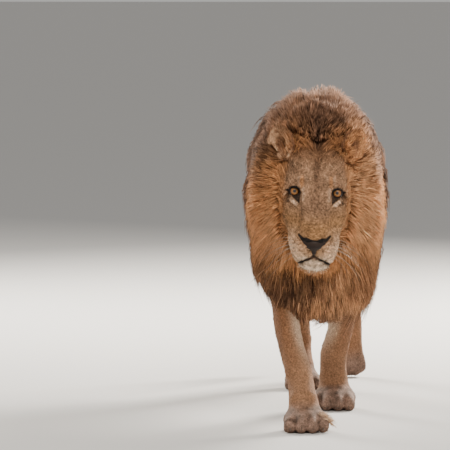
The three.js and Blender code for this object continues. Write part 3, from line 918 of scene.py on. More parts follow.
# The mane's patches as seen from ahead, each painted over the last: colour, amount, grain, and
# the places: share, across from the middle of the face, up, half width and half height.
MANE_PATCHES = [
    (OCHRE, 1.35, "mottled", (1, -0.155, 0.67, 0.085, 0.125), (1, 0.165, 0.67, 0.085, 0.135)),
    # Painted light as well as colour: this patch is stronger at +across, as if that side's ruff were
    # lit from behind.
    (GOLD, 1, "mottled", (0.85, -0.13, 0.69, 0.07, 0.11), (1.3, 0.155, 0.67, 0.075, 0.14)),
    # Painted light: straw mostly at +across, as if that side's ruff were lit from behind.
    (1.15 * STRAW, 0.95, "mottled", (1, 0.155, 0.65, 0.06, 0.12), (0.5, -0.16, 0.62, 0.05, 0.07)),
    (GOLD, 1.1, "mottled", (1, -0.145, 0.81, 0.035, 0.045), (1, 0.130, 0.80, 0.050, 0.070)),
    # Painted light: straw at +across only, as if the upper ruff on that side were lit from behind.
    (1.15 * STRAW, 0.95, "mottled", (1, 0.140, 0.80, 0.045, 0.085)),
    (OCHRE, 1.05, "mottled", (1, -0.066, 0.895, 0.052, 0.060), (0.70, 0.082, 0.895, 0.055, 0.062)),
    (GOLD, 0.3, "mottled", (1, 0.118, 0.895, 0.022, 0.05)),
    (DARK, 1, "even", (1, 0.005, 0.93, 0.014, 0.09)),
    (0.50 * DARK, 0.95, "even", (1, -0.178, 0.920, 0.046, 0.080), (1, 0.190, 0.900, 0.036, 0.085)),
    (0.55 * DARK, 0.8, "even", (1, 0.03, 0.970, 0.10, 0.028)),
    (0.35 * DARK, 0.95, "even", (1, -0.200, 0.86, 0.030, 0.085), (1, 0.200, 0.84, 0.024, 0.075)),
    (0.60 * DARK, 0.8, "even", (1, -0.135, 0.47, 0.05, 0.08)),
    (mix(OCHRE, GOLD, 0.85), 1.35, "mottled", (1, -0.005, 0.525, 0.125, 0.055)),
    (1.1 * STRAW, 1, "streaked", (1, 0.0, 0.40, 0.12, 0.08)),
    (0.60 * DARK, 0.9, "even", (1, -0.065, 0.43, 0.055, 0.035)),
    (RUSSET, 0.9, "even", (1, 0.17, 0.47, 0.05, 0.09)),
    (1.2 * mix(GOLD, PALE, 0.30), 1, "faintly streaked", (1, 0.085, 0.395, 0.085, 0.045)),
]


def mane_tone(p):
    """The mane's colour: dark round the outside, gold by the cheeks, ochre below the chin.

    Painted light makes the crown's top and the ruff at +x paler and brighter.
    """
    x, y, z = p.T
    front = ramp(-0.55, -0.72, y)
    q = np.column_stack([x - EYE_MIDDLE[0], z])
    streaks = ramp(-0.15, 0.6, noise(p, 0.016, 15))
    grains = {
        "even": 1,
        "mottled": 1 + 0.40 * noise(p, 0.05, 11) + 0.50 * noise(p, 0.015, 12),
        "streaked": streaks,
        "faintly streaked": 0.30 + 0.8 * streaks,
    }
    tone = np.tile(DARK, (len(p), 1))
    paint = painter(tone)
    paint(RUSSET, 0.35 * ramp(0.0, 0.8, noise(p, 0.06, 13)))
    for colour, amount, grain, *places in MANE_PATCHES:
        patch = sum(share * (spot(q, (across, up), (wide, high)) * front)
                    for share, across, up, wide, high in places)
        paint(colour, amount * patch * grains[grain])
    # Painted light: the top of the crown painted paler brown, as if lit from behind.
    paint(CROWN_LIGHT_BROWN, 0.20 * ramp(1.0, 1.06, z) * ramp(-0.4, -0.6, y))
    rear = ramp(-0.30, -0.14, y + 0.06 * noise(p, 0.05, 14))
    paint(mix(RUSSET, TAN, 0.45), 0.75 * rear)
    return tone


# -------------------- the lie of the coat


def leg_lie(leg):
    """For each node of a leg, the way from its middle to the next one's."""
    words = LEGS[leg]
    middles = [centre(f"{leg}_{word}") for word in words]
    ways = [unit(b - a) for a, b in zip(middles[:-1], middles[1:])]
    return {f"{leg}_{word}": way for word, way in zip(words, [*ways, ways[-1]])}


def coat_lie(p, owner):
    """The direction that the short coat lies in, before it is laid on the skin."""
    names = np.array(FLESH)[owner]
    lie = np.tile([0.0, 1.0, -0.22], (len(p), 1))
    for leg in LEGS:
        for node, way in leg_lie(leg).items():
            lie[names == node] = way
    for node in ("tail_root", "tail_end"):
        lie[names == node] = (0, 0.25, -1)
    for paw in PAWS:
        on = names == paw.node
        lie[on] = np.array([0, -0.75, -0.65]) @ paw.turn.T
    face = np.isin(names, ["head", "muzzle", "jaw"])
    q = mirrored(to_head(p[face]))
    out = np.column_stack([np.sign(to_head(p[face])[:, 0]) * (0.25 + q[:, 0] / 90),
                           np.full(face.sum(), 1.0),
                           0.5 + np.clip((q[:, 2] + 40) / 60, -1.6, 0.8)])
    lie[face] = out @ HEAD_TURN.T
    ears = np.isin(names, EAR_NODES)
    q = to_head(p[ears])
    rise = np.column_stack([np.sign(q[:, 0]) * 0.5, np.full(ears.sum(), 0.1), np.ones(ears.sum())])
    lie[ears] = rise @ HEAD_TURN.T
    return unit(lie)


def mane_lie(p, n):
    """The way a lock of the mane sets out, for places on the mane's outer form."""
    x, y, z = p.T
    face = EYE_MIDDLE - np.array([0, 0, 0.04])
    out = unit(np.column_stack([x - face[0], np.zeros(len(p)), z - face[2]]))
    front = ramp(-0.50, -0.74, y)[:, None]
    low = ramp(0.62, 0.42, z)[:, None]
    round_face = out + np.array([0, 0.10, -0.22])
    over_back = np.array([0, 1.0, -0.55]) + 0.3 * out
    hanging = np.array([0, 0.15, -1.0]) + 0.15 * out
    way = mix(mix(over_back, round_face, front), hanging, low * 0.85)
    way = way + 0.26 * np.stack([noise(p, 0.05, seed) for seed in (21, 22, 23)], 1)
    flat = laid(way, n)
    crown = ramp(0.86, 0.96, z) * ramp(-0.5, -0.65, y)
    lift = np.radians(20 + 24 * front[:, 0] + 14 * crown - 8 * low[:, 0])[:, None]
    return unit(flat * np.cos(lift) + n * np.sin(lift))


# -------------------- tufts


class Surface:
    """Triangles that hair grows on."""

    def __init__(self, points, faces):
        self.points, self.faces = points, faces
        self.normals = point_normals(points, faces)
        self.area = np.linalg.norm(face_cross(points, faces), axis=1) / 2
        self.middle = points[faces].mean(1)

    def scatter(self, weight, count, rng):
        """Random places: triangles picked by weight, and the shares of their corners."""
        picks = rng.choice(len(self.faces), count, p=weight / weight.sum())
        a, b = rng.random((2, count))
        fold = a + b > 1
        a[fold], b[fold] = 1 - a[fold], 1 - b[fold]
        return picks, np.stack([1 - a - b, a, b], 1)[:, :, None]

    def at(self, values, picks, shares):
        """The points' values at scattered places."""
        return (values[self.faces[picks]] * shares).sum(1)


class Skin(Surface):
    """The finished skin, its mesh, and what the coat needs from it."""

    def __init__(self, points, faces):
        super().__init__(points, faces)
        self.tree = tree_of(points, faces)
        edges = edges_of(faces)
        owner = nearest_owner(points, FLESH)
        self.lie = laid(smoothed(coat_lie(points, owner), edges, 10), self.normals)
        base = smoothed(coat_tone(points, self.normals, owner), edges, 4)
        q = to_head(points)
        on_head = np.isin(np.array(FLESH)[owner], ["head", "muzzle", "jaw", *EAR_NODES])
        on_head = smoothed(on_head * 1.0, edges, 4)
        self.tone = mix(base, ear_tone(q, face_tone(q, base)), on_head[:, None])
        self.on_head = on_head[faces].mean(1)
        self.mesh = mesh_object("skin", points, faces)
        set_tone(self.mesh, self.tone)
        self.uv = unwrap(self.mesh)


def unwrap(made):
    """The skin's own unwrap, as OFBake, and the map places of each triangle's corners."""
    bpy.context.view_layer.objects.active = made
    made.select_set(True)
    made.data.uv_layers.new(name="OFBake")
    bpy.ops.object.mode_set(mode="EDIT")
    bpy.ops.mesh.select_all(action="SELECT")
    bpy.ops.uv.smart_project(angle_limit=math.radians(72), island_margin=0.001)
    bpy.ops.object.mode_set(mode="OBJECT")
    made.select_set(False)
    places = np.empty(len(made.data.loops) * 2, np.float32)
    made.data.uv_layers["OFBake"].uv.foreach_get("vector", places)
    return places.reshape(-1, 3, 2)


def draws(name):
    """How many tufts a piece has, and its own source of random numbers."""
    count, seed = TUFTS[name]
    return count, np.random.default_rng(seed)


class Roots:
    """Random places on the skin, with what a tuft that grows there needs."""

    def __init__(self, skin, density, count, rng):
        picks, shares = skin.scatter(skin.area * density, count, rng)
        self.points = skin.at(skin.points, picks, shares)
        self.normals = unit(skin.at(skin.normals, picks, shares))
        self.lie = skin.at(skin.lie, picks, shares)
        self.tone = skin.at(skin.tone, picks, shares)
        self.uv = (skin.uv[picks] * shares).sum(1)


def paths_from(roots, sunk, ways, length, rise, sag, stops=LOCK_STOPS):
    """Bent centre lines that set out below the roots, rise, and sag back by a share of the rise."""
    t = np.array(stops)[None, :, None]
    length = length[:, None, None]
    start = (roots.points - roots.normals * sunk)[:, None]
    along = ways[:, None] * t * length
    bend = rise[:, None, None] * t - (rise * sag)[:, None, None] * t * t
    return start + along + roots.normals[:, None] * length * bend


def spike_faces(rings, count):
    """Triangles of spikes of three sides: between the rings, to the tip and across the foot."""
    last, tip = 3 * (rings - 1), 3 * rings
    faces = []
    for j in range(rings - 1):
        for k in range(3):
            a, b = 3 * j + k, 3 * j + (k + 1) % 3
            faces += [(a, b, b + 3), (a, b + 3, a + 3)]
    faces += [(last + k, last + (k + 1) % 3, tip) for k in range(3)] + [(2, 1, 0)]
    return (np.array(faces)[None] + (tip + 1) * np.arange(count)[:, None, None]).reshape(-1, 3)


def tuft_mesh(name, paths, normals, width, uv, tones, thick=0.6, taper=LOCK_TAPER):
    """Thin closed spikes along the paths, each on its own patch of the map.

    tones: the colours of each spike's foot and tip, darker at the foot as painted shade and
    lighter at the tip as painted light. thick: its height as a share of its width.
    """
    count, stops, _ = paths.shape
    rings = stops - 1
    tangent = unit(np.gradient(paths, axis=1))
    side = unit(np.cross(tangent, normals[:, None]))
    up = np.cross(side, tangent)
    corner_side = np.array([-0.5, 0.5, 0.0])[None, None, :, None]
    corner_up = np.array([-0.25, -0.25, 0.6])[None, None, :, None]
    wide = width[:, None, None, None] * np.array(taper)[None, :, None, None]
    ring = (paths[:, :rings, None] + side[:, :rings, None] * corner_side * wide
            + up[:, :rings, None] * corner_up * wide * thick)
    points = np.concatenate([ring.reshape(count, -1, 3), paths[:, -1:]], axis=1)
    faces = spike_faces(rings, count)
    made = mesh_object(name, points.reshape(-1, 3), faces)
    across = np.append(np.tile([-1.0, 1.0, 0.0], rings), 0.0)
    along = np.append(np.repeat(np.linspace(-1, 0.6, rings), 3), 1.0)
    patch = uv[:, None] + 0.0015 * np.stack([across, along], 1)[None]
    share = np.append(np.repeat(np.arange(rings) / rings, 3), 1.0)
    colour = mix(tones[:, :1], tones[:, 1:], share[None, :, None])
    finish_coat(made, patch.reshape(-1, 2)[faces.ravel()], colour.reshape(-1, 3))
    return made


def finish_coat(made, uv, colour):
    """Gives a mesh its map and its colour at each point."""
    layer = made.data.uv_layers.new(name="OFBake")
    layer.uv.foreach_set("vector", np.asarray(uv, np.float32).ravel())
    set_tone(made, colour)


def set_tone(made, colour):
    """Gives a mesh its colour at each point."""
    attribute = made.data.color_attributes.new("tone", "FLOAT_COLOR", "POINT")
    rgba = np.column_stack([np.clip(colour, 0.002, 1), np.ones(len(colour))])
    attribute.data.foreach_set("color", rgba.astype(np.float32).ravel())


def varied(width, count, rng):
    """A width for each tuft."""
    return width * rng.uniform(0.7, 1.3, count)


def nearest_uv(skin, points):
    """Map places of the skin's triangles nearest to the points."""
    picks = [skin.tree.find_nearest(Vector(p))[2] for p in points]
    return skin.uv[picks].mean(1)


# -------------------- hair on the skin


def short_coat(name, skin, density, length_at):
    """Short tufts over a part of the skin, as long as length_at says for their roots."""
    count, rng = draws(name)
    wide, lift, spread, dark = FUR_LOOKS[name]
    roots = Roots(skin, density, count, rng)
    ways = laid(roots.lie + 0.18 * rng.normal(size=(count, 3)), roots.normals)
    length = length_at(roots.points) * rng.lognormal(0, 0.25, count)
    rise = lift * rng.uniform(0.6, 1.5, count)
    paths = paths_from(roots, 0.0012, ways, length, rise, 0.45, FUR_STOPS)
    shade = rng.lognormal(0, spread, count)[:, None]
    tone = roots.tone * np.where(rng.random((count, 1)) < dark, shade * 0.55, shade)
    # Painted shade and light: each tuft darker at its foot among the roots and lighter at its tip.
    tones = np.stack([tone * 0.80, np.minimum(tone * 1.18, 0.9)], 1)
    width = varied(wide, count, rng)
    return tuft_mesh(name, paths, roots.normals, width, roots.uv, tones, 0.5, FUR_TAPER)


def head_hair_length(m):
    """Hair length over the head: hairline, cheeks, chin, throat and ears; 0 where it is short."""
    x, y, z = m.T
    crown = ramp(60, 165, y + 0.10 * x) * ramp(-10, 30, z)
    cheek = ramp(84, 120, x + 0.12 * y) * ramp(70, 30, z) * ramp(-92, -45, y)
    cheek *= ramp(36, 66, distance(m, (EYE_ACROSS, EYE_BACK, 0)))
    throat = ramp(-86, -118, z) * ramp(-84, -36, y)
    chin = ramp(-172, -196, z) * ramp(-70, -95, y)
    long = np.maximum(np.maximum(0.072 * crown**1.6, 0.052 * cheek), 0.055 * throat)
    long = np.maximum(long, 0.027 * chin)
    local, out = ear_place(m)
    inside = ramp(2, -6, local[:, 1]) * ramp(16, -8, local[:, 0])
    ear = np.maximum(0.022 * inside, 0.009 * ramp(0.80, 0.95, out))
    return np.where((out < 1.2) & (z > 40), ear, long)


def head_hair(skin, clear):
    """The hair that grows longer from the face toward the mane."""
    count, rng = draws("hair_head")
    want = head_hair_length(mirrored(to_head(skin.middle)))
    roots = Roots(skin, skin.on_head * clear * ramp(0.001, 0.014, want), count, rng)
    place = mirrored(to_head(roots.points))
    length = (0.006 + head_hair_length(place)) * rng.lognormal(0, 0.12, count)
    ways = unit(roots.lie + 0.14 * rng.normal(size=(count, 3)))
    rise = 0.28 + 0.34 * ramp(80, 140, place[:, 1]) * ramp(0, 40, place[:, 2])
    rise = np.where(distance(place, EAR_AT) < 60, 0.32, rise)
    rise = mix(0.16, rise, ramp(0.010, 0.034, length)) * rng.uniform(0.8, 1.2, count)
    paths = paths_from(roots, 0.002, ways, length, rise, 0.35)
    far = ramp(0.012, 0.040, length)[:, None]
    tone = mix(roots.tone, mane_tone(paths[:, 1]), far) * rng.lognormal(0, 0.28, count)[:, None]
    # Painted shade and light: each hair darker at its foot, more so for long hair, and lighter at its
    # tip.
    tones = np.stack([tone * mix(0.85, 0.6, far), capped(tone * 1.25)], 1)
    width = varied(mix(0.0014, 0.0024, far[:, 0]), count, rng)
    return tuft_mesh("hair_head", paths, roots.normals, width, roots.uv, tones)


def wrist_tuft(skin):
    """The pale tuft by the dewclaw, on the inner side of the leading paw."""
    count, rng = draws("hair_wrist")
    low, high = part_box("foreleg_right_paw")
    at = np.array([high.x - 0.008, (low.y + high.y) / 2 - 0.02, 0.052])
    near = ramp(0.032, 0.020, distance(skin.middle, at))
    roots = Roots(skin, near, count, rng)
    ways = unit(np.array([0.70, -0.30, -0.65]) + 0.15 * rng.normal(size=(count, 3)))
    length = rng.uniform(0.016, 0.034, count)
    paths = paths_from(roots, 0.001, ways, length, np.full(count, 0.45), 0.2)
    tone = PALE * rng.lognormal(0, 0.25, count)[:, None]
    # Painted shade and light: each hair darker at its foot and lighter at its tip.
    tones = np.stack([tone * 0.7, capped(tone * 1.2)], 1)
    width = varied(0.0019, count, rng)
    return tuft_mesh("hair_wrist", paths, roots.normals, width, roots.uv, tones)


def rear_fringe(skin):
    """Hair behind the mane that shortens into the trunk's coat."""
    count, rng = draws("hair_fringe")
    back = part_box("mane_crest")[1].y
    y, z = skin.middle[:, 1], skin.middle[:, 2]
    density = ramp(back - 0.10, back - 0.04, y) * ramp(back + 0.13, back + 0.02, y) * (z > 0.40)
    roots = Roots(skin, density, count, rng)
    wobble = 0.03 * noise(roots.points, 0.04, 83)
    far = ramp(back + 0.12, back - 0.03, roots.points[:, 1] + wobble)
    length = mix(0.018, 0.075, far) * rng.lognormal(0, 0.2, count)
    ways = roots.lie + 0.16 * rng.normal(size=(count, 3))
    ways = unit(ways + np.array([0, 0, -0.35]))
    paths = paths_from(roots, 0.002, ways, length, rng.uniform(0.10, 0.24, count), 0.6)
    tone = mix(roots.tone, mane_tone(roots.points), far[:, None] ** 1.5)
    tone = tone * rng.lognormal(0, 0.24, count)[:, None]
    # Painted shade and light: each hair darker at its foot and lighter at its tip.
    tones = np.stack([tone * 0.7, tone * 1.2], 1)
    width = varied(mix(0.0028, 0.0034, far), count, rng)
    return tuft_mesh("hair_fringe", paths, roots.normals, width, roots.uv, tones, 0.55)


def tail_brush(skin):
    """The dark brush on the tail's end: hair that grows from its core and hangs to its tip."""
    count, rng = draws("hair_tail")
    low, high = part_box("tail_tuft")
    tail, _ = arrays(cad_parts["tail_end"].data)
    top = tail[tail[:, 2] < tail[:, 2].min() + 0.012].mean(0) + np.array([0, 0, 0.030])
    foot = np.array([(low.x + high.x) / 2, (low.y + high.y) / 2, low.z + 0.055])
    height = rng.random(count) ** 0.85
    angle = rng.uniform(0, 2 * np.pi, count)
    outward = np.column_stack([np.cos(angle), np.sin(angle), np.zeros(count)])
    slim = ramp(0, 0.45, height)
    roots = mix(foot, top, height[:, None]) + outward * (0.004 + 0.010 * slim)[:, None]
    belly = (np.sin(np.pi * np.clip(height, 0.05, 1)) * 0.026 + 0.006) * (0.4 + 0.6 * slim)
    length = rng.uniform(0.035, 0.085, count)
    t = np.array(LOCK_STOPS)[None, :, None]
    swell = (outward * belly[:, None])[:, None] * (1.8 * t - 1.4 * t * t)
    paths = roots[:, None] + np.array([0, -0.05, -1.0]) * length[:, None, None] * t + swell
    paths = paths + 0.006 * rng.normal(size=(count, 1, 3)) * t
    shade = rng.lognormal(0, 0.3, count)[:, None]
    tone = mix(DARK, RUSSET, 0.3 * rng.random(count)[:, None]) * shade
    # Painted shade and light: each hair darker at its foot and lighter at its tip.
    tones = np.stack([tone * 0.7, tone * 1.3], 1)
    width = varied(0.0030, count, rng)
    return tuft_mesh("hair_tail", paths, outward, width, nearest_uv(skin, roots), tones)


# -------------------- mane


class ManeForm(Surface):
    """The mane's outer form, and how deep the hair is under it."""

    def __init__(self, skin):
        points, faces = remeshed(*stacked(node_bodies(FLESH + MANE)), MANE_VOXEL)
        super().__init__(rounded(points, faces, 6), faces)
        mane = tree_of(*stacked(node_bodies(MANE)))
        away = np.array([mane.find_nearest(Vector(p))[3] for p in self.points])
        depth = np.array([skin.tree.find_nearest(Vector(p))[3] for p in self.points])
        self.depth = depth * (away < 0.018)

    def sown(self, weight, count, rng):
        """Random places on the form, picked by weight, with the normal and the depth there."""
        place = self.scatter(weight, count, rng)
        depth = self.at(self.depth[:, None], *place)[:, 0]
        return self.at(self.points, *place), unit(self.at(self.normals, *place)), depth


def mane_under(form, skin):
    """The felt of hair deep in the mane, so that no skin shows between the locks."""
    keep = form.faces[(form.depth > 0.022)[form.faces].all(1)]
    inner = form.points - form.normals * (0.55 * np.minimum(form.depth, 0.07) + 0.006)[:, None]
    used, places = np.unique(keep, return_inverse=True)
    points, faces = inner[used], places.reshape(-1, 3)
    made = mesh_object("mane_under", points, faces)
    # Painted shade: the felt takes the mane's colour at 0.55, darker than the locks over it.
    finish_coat(made, nearest_uv(skin, points)[faces.ravel()], mane_tone(points) * 0.55)
    return made


def mane_locks(form, rng):
    """Paths of the locks, each drawn toward its guide's, with the locks' normals and shades."""
    weight = form.area * ramp(0.010, 0.022, form.depth[form.faces].min(1))
    weight *= mix(1.0, 1.9, ramp(-0.5, -0.7, form.middle[:, 1]))
    guide_places = form.sown(weight, MANE_CLUMPS, rng)
    places = form.sown(weight, MANE_CLUMPS * CLUMP_LOCKS, rng)
    tree = KDTree(MANE_CLUMPS)
    for i, p in enumerate(guide_places[0]):
        tree.insert(p, i)
    tree.balance()
    mine = np.array([tree.find(p)[1] for p in places[0]])
    guide = mane_path(*guide_places, rng, 0.06)[mine]
    own = mane_path(*places, rng, 0.30)
    start = own[:, :1]
    toward = guide - guide[:, :1] + start
    gather = guide + (start - guide[:, :1]) * 0.25
    t = np.linspace(0, 1, own.shape[1])[None, :, None]
    pull = 0.75 * rng.uniform(0.4, 1.0, len(own))[:, None, None]
    paths = mix(own, mix(toward, gather, t**1.5), pull * ramp(0, 0.5, t))
    return paths, places[1], rng.lognormal(0, 0.22, MANE_CLUMPS)[mine]


def mane_path(outer, normal, depth, rng, stray):
    """Centre lines of locks that start under the outer form and end a little above it."""
    count = len(outer)
    y, z = outer[:, 1], outer[:, 2]
    low = ramp(0.56, 0.44, z)
    astray = (stray + 0.2 * low)[:, None] * rng.normal(size=(count, 3)) * 0.55
    way = unit(mane_lie(outer, normal) + astray)
    rise = np.clip((way * normal).sum(1), 0.15, 1)
    length = mix(0.100, 0.056, ramp(-0.66, -0.76, y) * ramp(0.5, 0.6, z))
    length = mix(length, 0.060, low) * rng.uniform(0.7, 1.2, count)
    spread = 0.006 + 0.004 * ramp(0.9, 1.0, z)
    above = np.abs(rng.normal(0.003, spread)) + 0.008 * ramp(0.98, 1.03, z)
    above += 0.026 * spot(outer, (0.18, -0.62, 0.485), (0.07, 0.20, 0.05))
    sink = np.minimum(length * rise, depth * 0.85 + 0.002)
    length = (sink + above) / rise
    root = outer - normal * sink[:, None]
    t = np.array(LOCK_STOPS)[None, :, None]
    down = np.array([0, 0, -1.0]) * (0.06 + 0.14 * ramp(0.9, 0.6, z) * ramp(0.36, 0.5, z))[:, None]
    bend = down - normal * 0.12
    path = root[:, None] + length[:, None, None] * (way[:, None] * t + bend[:, None] * t * t)
    wave = np.stack([noise(outer, 0.022, seed) for seed in (31, 32, 33)], 1)
    return path + 0.11 * length[:, None, None] * wave[:, None] * np.sin(t * 2.6)


def mane_pieces(skin):
    """The felt, and the locks by part and side of the mane."""
    form = ManeForm(skin)
    made = [mane_under(form, skin)]
    rng = np.random.default_rng(MANE_SEED)
    paths, normals, clump_shade = mane_locks(form, rng)
    fine = rng.random(len(paths)) < 0.5
    width = varied(np.where(fine, 0.0017, 0.0031), len(paths), rng)
    shade = (clump_shade * rng.lognormal(0, 0.36, len(paths)))[:, None]
    root, middle = paths[:, 0], paths[:, 1]
    tone = mane_tone(middle) * shade
    # Painted shade and light: each lock darker at its foot deep in the mane and lighter at its tip.
    tones = np.stack([tone * 0.62, capped(tone * 1.35)], 1)
    locks = (paths, normals, width, nearest_uv(skin, root), tones)
    named = {
        "mane_crest": root[:, 2] > 0.87,
        "mane_bib": root[:, 2] < 0.55,
        "mane_ruff": root[:, 1] < -0.62,
        "mane_shoulder": np.ones(len(paths), bool),
    }
    free = ~hides_ear(paths)
    for name, inside in named.items():
        for word, side in (("left", root[:, 0] >= 0), ("right", root[:, 0] < 0)):
            chosen = np.flatnonzero(inside & side & free)
            free[chosen] = False
            made += lock_pieces(f"{name}_{word}_hair", chosen, locks)
    return made


def lock_pieces(name, chosen, locks):
    """The chosen locks as pieces of no more than MOST_LOCKS each."""
    groups = np.array_split(chosen, max(1, math.ceil(len(chosen) / MOST_LOCKS)))
    labels = [name] if len(groups) == 1 else [f"{name}_{i + 1}" for i in range(len(groups))]
    return [tuft_mesh(label, *(values[group] for values in locks))
            for label, group in zip(labels, groups)]


def hides_ear(path):
    """Locks that would hide the outer half of the right ear from a person ahead."""
    q = to_head(path[:, 1:].reshape(-1, 3))
    window = np.linalg.norm((ahead(mirrored(q)) - (126, 158)) / (32, 58), axis=1) < 1
    before = (q[:, 0] < 0) & (q[:, 1] < EAR_AT[1] + 10)
    return (window & before).reshape(len(path), -1).any(1)


# -------------------- eyes, nose, claws, whiskers


def ball(radius, rings, segments):
    """Points and triangles of a ball."""
    mesh = bpy.data.meshes.new("ball")
    work = bmesh.new()
    bmesh.ops.create_uvsphere(work, u_segments=segments, v_segments=rings, radius=radius)
    bmesh.ops.triangulate(work, faces=work.faces)
    work.to_mesh(mesh)
    work.free()
    result = arrays(mesh)
    bpy.data.meshes.remove(mesh)
    return result


def make_eye(side, word):
    """An eyeball whose pole looks at the camera, with a cornea that bulges over the iris."""
    radius = EYE_RADIUS * MM
    points, faces = ball(radius, 40, 48)
    height = points[:, 2] / radius
    bulge = ramp(0.74, 0.90, height) * 0.0016
    points = points * (1 + bulge / radius)[:, None]
    gaze = Vector(unit(np.array([0, -math.cos(CAMERA_UP), math.sin(CAMERA_UP)])))
    points = points @ np.array(gaze.to_track_quat("Z", "Y").to_matrix()).T
    points += from_head(np.array([side * EYE_ACROSS, EYE_BACK, 0.0]))
    made = mesh_object(f"eyeball_{word}", points, faces)
    around = np.degrees(np.arccos(np.clip(height, -1, 1)))
    angle = np.arctan2(points[:, 0] - points[:, 0].mean(), points[:, 2] - points[:, 2].mean())
    set_tone(made, eye_tone(around, angle))
    return made


def eye_tone(around, angle):
    """Pupil, iris with a paler middle, then the dark surround, by degrees from the pole."""
    rays = 0.5 + 0.5 * np.sin(angle * 37 + 3 * np.sin(angle * 11))
    iris = mix(IRIS, IRIS_EDGE, ramp(18, 34, around)[:, None]) * (0.75 + 0.4 * rays)[:, None]
    tone = mix(PUPIL, iris, ramp(12.0, 16.0, around)[:, None])
    return mix(tone, EYE_DARK, ramp(36, 40, around)[:, None])


def nose_form(p):
    """Distance to the nose's leather."""
    m = mirrored(p)
    body = ellipsoid(m, (0, -149, -88), (26, 15, 19), turned(0.30, 0, 0))
    body = blend(body, strand(m, [(12, -147, -88), (27, -143, -82), (36, -138, -79)], [12, 11, 6]), 6)
    body = blend(body, ellipsoid(m, (0, -152, -109), (7, 9, 18)), 7)
    body = carve(body, nostril(m), 2.0)
    return carve(body, strand(m, [(0, -170, -98), (0, -166, -132)], [2.2, 2.2]), 1.6)


def nostril(m):
    """The slit that starts beside the nose's middle and curls up and outward."""
    stops = [(14, -161, -99), (22, -160, -96), (33, -152, -88), (44, -142, -78)]
    return strand(m, stops, [4.6, 5.2, 4.2, 2.0])


def make_nose():
    """The bare nose: a ball drawn onto its form, with pebbled leather and dark nostrils."""
    points, faces = ball(1.0, 60, 90)
    points = onto(points * (52, 17, 30) + (0, -146, -92), nose_form, rounds=9)
    points = mix(points, smoothed(points, edges_of(faces), 1), 0.5)
    pebbles = np.abs(noise(points, 2.6, 51)) + 0.5 * np.abs(noise(points, 1.3, 52))
    points = points + point_normals(points, faces) * (0.35 * pebbles)[:, None]
    made = mesh_object("nose_leather", from_head(points), faces)
    # Painted sheen: the top of the nose's leather lighter.
    tone = mix(LEATHER, LEATHER_SHEEN, 0.6 * ramp(-86, -76, points[:, 2])[:, None])
    # Painted shade: the nostrils' slits near black.
    set_tone(made, mix(tone, NOSTRIL_SHADE, ramp(1.5, -0.6, nostril(mirrored(points)))[:, None]))
    return made


def hook(base, way, drop, length, radius, stops=7, sides=8):
    """A claw or whisker: a bar that tapers to a point and curves down."""
    t = np.linspace(0, 1, stops)[:, None]
    path = base + length * (way * t + drop * 0.55 * t**2)
    tangent = unit(np.gradient(path, axis=0))
    across = unit(np.cross(tangent, drop))
    up = np.cross(across, tangent)
    size = (radius * (1 - t**1.6))[:-1, None]
    angle = np.linspace(0, 2 * np.pi, sides, endpoint=False)[None, :, None]
    ring = (path[:-1, None] + across[:-1, None] * (np.cos(angle) * size * 0.6)
            + up[:-1, None] * (np.sin(angle) * size))
    points = np.concatenate([ring.reshape(-1, 3), path[-1:], path[:1]])
    tip = (stops - 1) * sides
    last, foot = tip - sides, tip + 1
    faces = []
    for k in range(sides):
        after = (k + 1) % sides
        for j in range(0, last, sides):
            a, b = j + k, j + after
            faces += [(a, b, b + sides), (a, b + sides, a + sides)]
        faces += [(last + k, last + after, tip), (after, k, foot)]
    return points, np.array(faces)


def gathered(name, bodies, tone):
    """Several bodies as one mesh of one tone."""
    points, faces = stacked(bodies)
    made = mesh_object(name, points, faces)
    set_tone(made, np.tile(tone, (len(points), 1)))
    return made


def make_claws():
    """The forepaws' claws, whose tips alone leave their sheaths."""
    bodies = []
    for paw in PAWS[:2]:
        for toe in TOES:
            base = np.array([toe * PAW_WIDE * 0.232, toe_back(toe) - 34, 15.0])
            q, f = hook(base, np.array([0, -1.0, -0.1]), np.array([0, 0, -1.0]), 11, 4.0)
            bodies.append((paw.world(q), f))
    return gathered("claws", bodies, CLAW)


def make_whiskers():
    """Four rows of long pale whiskers that leave each pad outward and droop."""
    rng = np.random.default_rng(WHISKER_SEED)
    bodies = []
    for side in (-1, 1):
        drop = unit(np.array([side * 0.1, 0.15, -1.0])) * 1.5
        for row, k in np.ndindex(4, 3):
            y = -132 + 15 * k
            z = -98 - 11 * row - 0.10 * (y + 134)
            start = onto(np.array([[46.0 + 3 * k, y, z]]), head_form)[0] * (side, 1, 1)
            way = unit(np.array([side * 1.0, 0.25 + 0.1 * k, -0.20 - 0.16 * row]))
            way = unit(way + 0.08 * rng.normal(size=3))
            q, f = hook(start, way, drop, rng.uniform(60, 120), 0.40, stops=10, sides=5)
            bodies.append((from_head(q), f))
    return gathered("whiskers", bodies, WHISKER)


# -------------------- materials


def set_inputs(node, values):
    """Constants on a node's sockets."""
    for name, value in values.items():
        node.inputs[name].default_value = value


def new_material(name, roughness, specular):
    """A material and its shader."""
    made = bpy.data.materials.new(name)
    made.use_nodes = True
    shader = made.node_tree.nodes["Principled BSDF"]
    set_inputs(shader, {"Roughness": roughness, "Specular IOR Level": specular})
    return made, shader


def add_noise(tree, scale, detail):
    """Noise in the object's own space."""
    place = tree.nodes.new("ShaderNodeTexCoord")
    grain = tree.nodes.new("ShaderNodeTexNoise")
    set_inputs(grain, {"Scale": scale, "Detail": detail})
    tree.links.new(place.outputs["Object"], grain.inputs["Vector"])
    return grain.outputs["Fac"]


